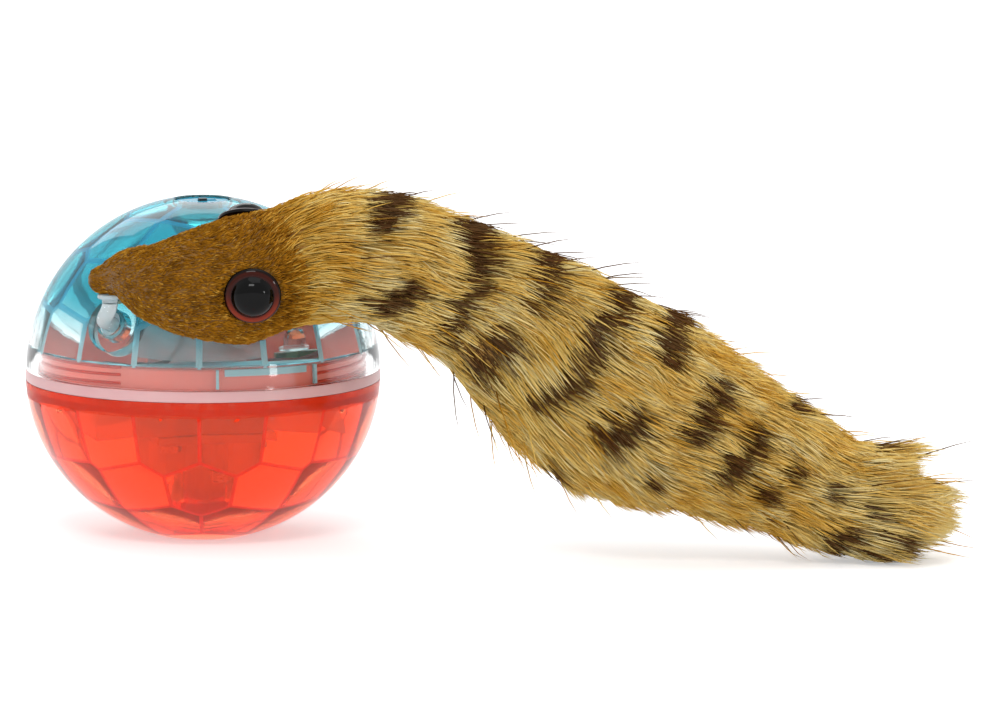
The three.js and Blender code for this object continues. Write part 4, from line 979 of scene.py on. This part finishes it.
eye_gloss, tree = blank_material("glossy_pressed_eye")
ring = node(tree, "ShaderNodeAttribute", {"attribute_name": "ring"})
bands = colour_ramp(tree, ring.outputs["Fac"], [
    (0.0, "#060607"), (0.70, "#060607"), (0.735, "#1C0B08"), (0.78, "#7A2410"),
    (0.90, "#8C2E10"), (0.955, "#34110A"), (1.0, "#1A0B07")])
shade = node(tree, "ShaderNodeAttribute", {"attribute_name": "painted_top_shade"})
surfaced(eye_gloss, {"Base Color": blended(tree, 1.0, bands, shade.outputs["Color"], "MULTIPLY"),
                     "Roughness": 0.04, "IOR": 1.5, "Specular IOR Level": 0.14})
for name, stand in eye_stands.items():
    button = turned(eye_profile, 64)
    ring_layer = button.verts.layers.float.new("ring")
    top_shade_layer = button.verts.layers.float.new("painted_top_shade")
    for vert in button.verts:
        vert[ring_layer] = math.hypot(vert.co.x, vert.co.y) / eye_radius
        # Painted shade: the eye's colour is scaled down towards its top, to 0.16 of it at the top.
        drop = (stand.translation.z - (stand @ vert.co).z) / eye_radius
        vert[top_shade_layer] = 0.16 + 0.84 * smooth_share(drop, -0.2, 0.8)
    piece(f"{name}_button", button, [eye_gloss], "plush_toy", [name], smooth=35,
          matrix=stand)


# Nose clip: milky natural polypropylene, one moulding. A round knob snaps into the ball's cup,
# a bent stem leads up from it, and a flange is sewn in under the snout.
clip_middle, _, clip_skin = weasel_at(station_of(0.027))
flange_low = clip_middle.z - clip_skin
flange_radius, stem_radius, stem_steps = 2.8 * mm, 1.8 * mm, 40
stem_points = [centre + clip_way * 38.3 * mm, centre + clip_way * ball_radius,
               centre + clip_way * 42.6 * mm,
               Vector((clip_middle.x, clip_middle.y, flange_low - 1.8 * mm)),
               Vector((clip_middle.x, clip_middle.y, flange_low + 0.5 * mm))]
stem_line = [curve_at(stem_points, (len(stem_points) - 1) * i / stem_steps)
             for i in range(stem_steps + 1)]
knob_profile = [(0, 35.8), (2.6, 35.8), (3.1, 36.0), (3.3, 36.5), (3.3, 38.3), (3.1, 38.8),
                (2.6, 39.0), (0, 39.0)]
knob = turned([(r * mm, h * mm) for r, h in knob_profile], 48, in_ball @ clip_axis)
flange = plug(flange_radius, 0, 1.0 * mm, 48,
              Matrix.Translation((clip_middle.x, clip_middle.y, flange_low)), 0.2 * mm, 0.2 * mm)
clip = combined(swept(stem_line, stem_radius, 24), "UNION", knob, flange)
natural_pp = clear_plastic("natural_polypropylene", "#EAF4F6", 0.2, haze=0.5)
piece("nose_clip_moulding", clip, [natural_pp], "plush_toy", ["nose_clip"],
      smooth=40)


# Pile of both fabrics: modacrylic strands tufted through the ground and brushed towards the
# tail. They stand up at the root, bend over, and gather in locks. The tail's end is left long,
# and a few stiffer guard hairs stand out of the coat.
ring_sides = 3
eye_bare = 6.05 * mm
body_stations, crown_stations, head_stations = (5.3, 18), (4.5, 5.4), (-1, 4.9)
body_density, guard_density, head_density = 3.1e6, 2.2e4, 6.0e6
body_lengths, guard_lengths = (7.5 * mm, 11.5 * mm), (10 * mm, 15 * mm)
head_lengths = (2.6 * mm, 3.6 * mm)

pile_tree = bpy.data.node_groups.new("tufted_pile", "GeometryNodeTree")
for name, kind in (("Fabric", "Geometry"), ("Strand", "Object"), ("Strands per m2", "Float"),
                   ("Seed", "Int"), ("First station", "Float"), ("Last station", "Float"),
                   ("Lift", "Float"), ("Shortest", "Float"), ("Longest", "Float"),
                   ("Finish", "Material")):
    pile_tree.interface.new_socket(name, in_out="INPUT", socket_type=f"NodeSocket{kind}")
pile_tree.interface.new_socket("Pile", in_out="OUTPUT", socket_type="NodeSocketGeometry")
given = node(pile_tree, "NodeGroupInput").outputs


def stored(name, kind="FLOAT"):
    """A value that the fabric's points keep."""
    return node(pile_tree, "GeometryNodeInputNamedAttribute", {"data_type": kind},
                {"Name": name}).outputs["Attribute"]


def station_is(operation, limit):
    return node(pile_tree, "FunctionNodeCompare", {"operation": operation},
                {"A": stored("station"), "B": given[limit]})


def any_between(low, high):
    """A random number for each strand."""
    return node(pile_tree, "FunctionNodeRandomValue", {"data_type": "FLOAT"},
                {2: low, 3: high, "Seed": given["Seed"]}).outputs[1]


chosen = node(pile_tree, "FunctionNodeBooleanMath", {"operation": "AND"},
              {0: station_is("GREATER_THAN", "First station"),
               1: station_is("LESS_THAN", "Last station")})
roots = node(pile_tree, "GeometryNodeDistributePointsOnFaces", None,
             {"Mesh": given["Fabric"], "Selection": chosen,
              "Density": given["Strands per m2"], "Seed": given["Seed"]})
stray = node(pile_tree, "FunctionNodeRandomValue", {"data_type": "FLOAT_VECTOR"},
             {"Min": (-0.2, -0.2, -0.2), "Max": (0.2, 0.2, 0.2), "Seed": given["Seed"]})
rise = node(pile_tree, "ShaderNodeMath", {"operation": "MULTIPLY"},
            {0: any_between(0.55, 1.35), 1: given["Lift"]})
rise = node(pile_tree, "ShaderNodeVectorMath", {"operation": "SCALE"},
            {0: roots.outputs["Normal"], "Scale": rise})
way = stored("flow", "FLOAT_VECTOR")
for added in (rise, stray):
    way = node(pile_tree, "ShaderNodeVectorMath", {"operation": "ADD"}, {0: way, 1: added})
lean = node(pile_tree, "FunctionNodeAlignRotationToVector", {"axis": "Z"}, {"Vector": way})
lean = node(pile_tree, "FunctionNodeAlignRotationToVector", {"axis": "X", "pivot_axis": "Z"},
            {"Rotation": lean, "Vector": roots.outputs["Normal"]})
length = node(pile_tree, "ShaderNodeMath", {"operation": "MULTIPLY"},
              {0: any_between(given["Shortest"], given["Longest"]), 1: stored("reach")})
size = node(pile_tree, "ShaderNodeCombineXYZ", None, {"X": 1.0, "Y": 1.0, "Z": length})
strand = node(pile_tree, "GeometryNodeObjectInfo", None, {"Object": given["Strand"]})
tufts = node(pile_tree, "GeometryNodeInstanceOnPoints", None,
             {"Points": roots, "Rotation": lean, "Scale": size,
              "Instance": strand.outputs["Geometry"]})
tufts = node(pile_tree, "GeometryNodeRealizeInstances", None, {"Geometry": tufts})
tufts = node(pile_tree, "GeometryNodeSetMaterial", None,
             {"Geometry": tufts, "Material": given["Finish"]})
node(pile_tree, "NodeGroupOutput", None, {"Pile": tufts})


def strand_mesh(name, width, heights, shares, bend):
    """A thin tapered needle one unit long, bent towards -X, made of three-sided rings."""
    bm = bmesh.new()
    rows = [[bm.verts.new((width / 2 * share * math.cos(a) - bend * height ** 2,
                           width / 2 * share * math.sin(a), height))
             for a in round_angles(ring_sides)] for height, share in zip(heights, shares)]
    tip = bm.verts.new((-bend, 0, 1))
    walled(bm, rows)
    for k in range(ring_sides):
        bm.faces.new((rows[-1][k], rows[-1][(k + 1) % ring_sides], tip))
    bm.faces.new(rows[0][::-1])
    mesh = bpy.data.meshes.new(name)
    bm.to_mesh(mesh)
    bm.free()
    return linked(name, mesh)


def tufted(skin, strand, density, seed, stations, lift, lengths, finish):
    """The strands that the tree grows on a skin, as each strand's points, bare at the eyes."""
    ground = linked("pile_ground", skin.data)
    modifier = ground.modifiers.new("pile", "NODES")
    modifier.node_group = pile_tree
    values = {"Strand": strand, "Strands per m2": density, "Seed": seed,
              "First station": stations[0], "Last station": stations[1], "Lift": lift,
              "Shortest": lengths[0], "Longest": lengths[1], "Finish": finish}
    for item in pile_tree.interface.items_tree:
        if item.name in values:
            modifier[item.identifier] = values[item.name]
    grown = ground.evaluated_get(bpy.context.evaluated_depsgraph_get())
    mesh = bpy.data.meshes.new_from_object(grown)
    bpy.data.objects.remove(ground)
    points = np.empty(len(mesh.vertices) * 3)
    mesh.vertices.foreach_get("co", points)
    points = points.reshape(-1, len(strand.data.vertices), 3)
    bpy.data.meshes.remove(mesh)
    roots = points[:, :ring_sides].mean(axis=1)
    bare = np.zeros(len(roots), dtype=bool)
    for stand in eye_stands.values():
        local = (roots - np.array(stand.translation)) @ np.array(stand.to_3x3())
        bare |= (np.hypot(local[:, 0], local[:, 1]) < eye_bare) & (local[:, 2] > -shank_depth)
    return points[~bare]


def spines(points):
    """The middle of each ring of each strand, and its tip."""
    rings = (points.shape[1] - 1) // ring_sides
    middles = [points[:, ring_sides * k:ring_sides * (k + 1)].mean(axis=1) for k in range(rings)]
    return np.stack([*middles, points[:, -1]], axis=1)


def gathered(points, every, weakest, strongest):
    """Pulls each strand towards a leading strand close by, more and more towards its tip."""
    lines = spines(points)
    leaders = chance.permutation(len(points))[::every]
    tree = kdtree.KDTree(len(leaders))
    for i, leader in enumerate(leaders):
        tree.insert(lines[leader, 0], i)
    tree.balance()
    nearest = leaders[[tree.find(root)[1] for root in lines[:, 0]]]
    pull = chance.uniform(weakest, strongest, len(points))[:, None, None]
    heights = np.linspace(0, 1, lines.shape[1])[None, :, None]
    shift = (lines[nearest] - lines) * pull * heights ** 1.3
    per_vertex = np.minimum(np.arange(points.shape[1]) // ring_sides, lines.shape[1] - 1)
    points += shift[:, per_vertex]


def kept_clear(points):
    """Lays strands that would enter the ball or the floor on its surface."""
    spare = chance.uniform(0.3, 1.3, len(points))[:, None] * mm
    out = points - np.array(centre)
    far = np.linalg.norm(out, axis=2)
    room = np.maximum(far, ball_radius + spare)
    points[:] = np.array(centre) + out * (room / far)[:, :, None]
    points[:, :, 2] = np.maximum(points[:, :, 2], 0.1 * mm + spare)


def heights_along(points):
    """0 at a strand's root to 1 at its tip, for each vertex."""
    rings = (points.shape[1] - 1) // ring_sides
    share = np.minimum(np.arange(points.shape[1]) // ring_sides, rings) / rings
    return np.broadcast_to(share[None, :], points.shape[:2])


def coat(name, strand, points, tone, dye, material, parts=1):
    """Splits a pile into pieces; each vertex keeps its strand's tone and dye and its height."""
    faces = [list(face.vertices) for face in strand.data.polygons]
    corners = np.concatenate(faces)
    sizes = np.array([len(face) for face in faces])
    values = {"tone": tone[:, None], "dye": dye[:, None], "along": heights_along(points)}
    for part, chosen in enumerate(np.array_split(np.argsort(points[:, 0, 0]), parts)):
        count = len(chosen)
        first = np.arange(count)[:, None] * points.shape[1]
        made = bpy.data.meshes.new(f"{name}_{part + 1}")
        made.vertices.add(count * points.shape[1])
        made.vertices.foreach_set("co", points[chosen].reshape(-1))
        made.loops.add(count * len(corners))
        made.loops.foreach_set("vertex_index", (first + corners[None, :]).reshape(-1))
        made.polygons.add(count * len(faces))
        starts = np.concatenate([[0], np.cumsum(np.tile(sizes, count))[:-1]])
        made.polygons.foreach_set("loop_start", starts)
        made.update(calc_edges=True)
        for key, value in values.items():
            spread = np.broadcast_to(value, points.shape[:2])[chosen]
            layer = made.attributes.new(key, "FLOAT", "POINT")
            layer.data.foreach_set("value", np.ascontiguousarray(spread).reshape(-1))
        made.materials.append(material)
        made.shade_smooth()
        held = linked(f"{name}_{part + 1}", made)
        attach(held, "plush_toy")


def grain(points, size, seed):
    """Slow noise, about -1 to 1, at each given point."""
    shift = Vector((seed, seed * 1.7, seed * 0.6))
    return np.array([noise.noise(Vector(p) / size + shift) for p in points])


def seen_height(points_z, points_y):
    """Height as the camera sees it, in mm from the ball's centre."""
    return (0.990 * (points_z - centre.z) + 0.143 * points_y) / mm


# The tail's end: how far along X the strands reach at each height, both in mm.
tail_heights = [-45, -38, -32, -28, -24.5, -21, -16, -12]
tail_reaches = [160, 170, 179, 176, 163, 163, 168, 158]
tail_unevenness = 2.2


def trimmed(points):
    """Shears the tail's end so that it parts into an upper wisp and a lower tuft."""
    tip, root = points[:, -1], points[:, 0:1]
    furthest = np.interp(seen_height(tip[:, 2], tip[:, 1]), tail_heights, tail_reaches)
    furthest = (furthest + chance.normal(0, tail_unevenness, len(points))) * mm
    reach = np.maximum(tip[:, 0] - root[:, 0, 0], 0.1 * mm)
    share = np.clip((furthest - root[:, 0, 0]) / reach, 0.3, 1)[:, None, None]
    points[:] = root + (points - root) * share


def pile_finish(name, colours, stripe, gloss):
    """Dyed modacrylic. The tone and the printed stripe come with each strand; its root is painted
    darker as the shade of the others, and its tip painted lighter as the light it catches. The
    fibre has a soft, silky gloss."""
    material, tree = blank_material(name)
    tone, dye, along = (node(tree, "ShaderNodeAttribute", {"attribute_name": key}).outputs["Fac"]
                        for key in ("tone", "dye", "along"))
    dyed = colour_ramp(tree, tone, [(i / (len(colours) - 1), code)
                                    for i, code in enumerate(colours)])
    # Painted shade and light: the colour is scaled from 0.56 at the strand's root to 1.12 at its
    # tip.
    shaded = node(tree, "ShaderNodeVectorMath", {"operation": "SCALE"},
                  {0: blended(tree, dye, dyed.outputs[0], rgb(stripe)),
                   "Scale": ranged(tree, along, (0, 1), (0.56, 1.12))})
    return surfaced(material, {"Base Color": shaded, "Roughness": gloss,
                               "Specular IOR Level": 0.12})


# The stripes are printed on the pile: place along X, height as the camera sees it and half
# width of each stroke, in mm from the ball's centre. Both sides carry the same print.
stripe_strokes = [
    [(43.6, 40.2, 3.8), (41.8, 33.3, 2.6), (42.3, 30, 1.2)], [(42, 14.8, 2.6), (49, 18.5, 2.6)],
    [(63.3, 31.6, 4), (65.1, 24.7, 3), (62.4, 17.8, 1.7), (60.3, 12.7, 2), (57, 7.4, 2.2)],
    [(79.7, 29.3, 3.6), (81.3, 23.6, 3.2), (80.8, 18, 2.2), (79, 14.3, 2.2)],
    [(71.4, 5.5, 3.4), (66.3, 0, 3.2)],
    [(98.2, 20.1, 2.8), (96.3, 14.3, 2.6), (94, 9.7, 2.4), (91.7, 4.2, 2), (88.2, 0.5, 2),
     (85.5, -3.5, 2.8), (78.8, -8.3, 2.4)],
    [(109.2, 13.2, 2.2), (107.9, 8.5, 2), (106.7, 3.2, 2)],
    [(99.5, -11.1, 2.8), (92.6, -15.7, 2.6)], [(80.6, -22.6, 1.6)] * 2,
    [(118.2, -4.6, 2.8), (115.2, -9.5, 2.2), (112, -13.9, 2.2)], [(103.2, -24.9, 1.6)] * 2,
    [(125.9, -13.4, 2.4), (124.9, -18, 2.2), (118.9, -23.1, 2)],
    [(127.9, -27.5, 2.4)] * 2, [(134.9, -22.6, 2.2)] * 2, [(144.1, -27.5, 2.2)] * 2,
    [(154.5, -31.6, 2)] * 2, [(148.5, -37.2, 2), (143.9, -39, 2.2)], [(159.4, -38.8, 2.2)] * 2,
    [(154.7, -43.4, 1.8)] * 2, [(135.6, -6.5, 2)] * 2, [(157.7, -15.2, 1.8)] * 2]
stroke_spread = 0.35
print_raggedness, print_grain, print_fade = 0.5, 0.7, 1.2


def off_the_print(points):
    """How far points lie outside the nearest printed stroke, in mm; less than 0 within it."""
    middle_y = np.interp(points[:, 0], [m.x for m in weasel_middles],
                         [m.y for m in weasel_middles])
    x = points[:, 0] / mm
    w = seen_height(points[:, 2], middle_y - np.abs(points[:, 1] - middle_y))
    least = np.full(len(points), 99.0)
    for stroke in stripe_strokes:
        for (x1, w1, h1), (x2, w2, h2) in zip(stroke, stroke[1:]):
            span = max((x2 - x1) ** 2 + (w2 - w1) ** 2, 1e-6)
            t = np.clip(((x - x1) * (x2 - x1) + (w - w1) * (w2 - w1)) / span, 0, 1)
            off = np.hypot(x - x1 - t * (x2 - x1), w - w1 - t * (w2 - w1))
            least = np.minimum(least, off - h1 - t * (h2 - h1))
    return least - stroke_spread


def printed_dye(points):
    """How dark the print is on strands whose visible half is at these points, 0 to 1."""
    ragged = (off_the_print(points) + chance.normal(0, print_raggedness, len(points))
              + print_grain * grain(points, 5 * mm, 4.0))
    return np.clip(0.5 - ragged / print_fade, 0, 1)


chance = np.random.default_rng(7)
long_strand = strand_mesh("long_strand", 0.34 * mm, (0, 0.34, 0.68), (1, 1, 0.72), 2.2 * mm)
long_pile = pile_finish("long_pile_modacrylic",
                        ["#8A560C", "#C88C1C", "#EAB446", "#FAD87C", "#FFEEB2"], "#4A210E", 0.55)
body_pile = np.concatenate([
    tufted(body_skin, long_strand, body_density, 11, body_stations, 0.30, body_lengths, long_pile),
    tufted(head_skin, long_strand, body_density, 12, crown_stations, 0.22, body_lengths,
           long_pile)])
gathered(body_pile, 22, 0.25, 0.7)
trimmed(body_pile)
kept_clear(body_pile)
lines = spines(body_pile)
seen = lines[:, 1] * 0.45 + lines[:, 2] * 0.55
# The coat is darker at the neck and palest at the tail's end and beside the stripes.
tone = (np.interp(seen[:, 0] / mm, [14, 22, 31, 40, 52, 105, 125, 160, 172],
                  [0.36, 0.5, 0.67, 0.7, 0.68, 0.66, 0.62, 0.72, 0.9])
        + 0.26 * grain(seen, 6 * mm, 1.0) + chance.normal(0, 0.1, len(seen))
        + 0.16 * np.exp(-((off_the_print(seen) - 2.5) / 2.5) ** 2) - 0.05)
coat("long_pile", long_strand, body_pile, np.clip(tone, 0, 1), printed_dye(seen) * 0.93,
     long_pile, parts=5)

guard_hairs = tufted(body_skin, long_strand, guard_density, 21, body_stations, 0.75,
                     guard_lengths, long_pile)
kept_clear(guard_hairs)
lines = spines(guard_hairs)
dark = np.clip(printed_dye(lines[:, 1]) + (chance.random(len(lines)) < 0.2), 0, 0.9)
coat("guard_hairs", long_strand, guard_hairs, chance.uniform(0.2, 0.7, len(lines)), dark,
     long_pile)

short_strand = strand_mesh("short_strand", 0.30 * mm, (0, 0.55), (1, 0.8), 0.5 * mm)
short_pile = pile_finish("brushed_velour", ["#583504", "#A06806", "#C68618", "#E6B24C"],
                         "#4A2410", 0.65)
head_pile = tufted(head_skin, short_strand, head_density, 31, head_stations, 0.6, head_lengths,
                   short_pile)
gathered(head_pile, 14, 0.1, 0.6)
kept_clear(head_pile)
roots = head_pile[:, 0]
tone = (0.46 + 0.34 * grain(roots, 2.4 * mm, 2.0) + chance.normal(0, 0.12, len(roots))
        + 0.5 * (chance.random(len(roots)) < 0.05))
coat("short_pile", short_strand, head_pile, np.clip(tone, 0, 1), np.zeros(len(roots)),
     short_pile)
for strand in (long_strand, short_strand):
    bpy.data.objects.remove(strand)


low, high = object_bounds()
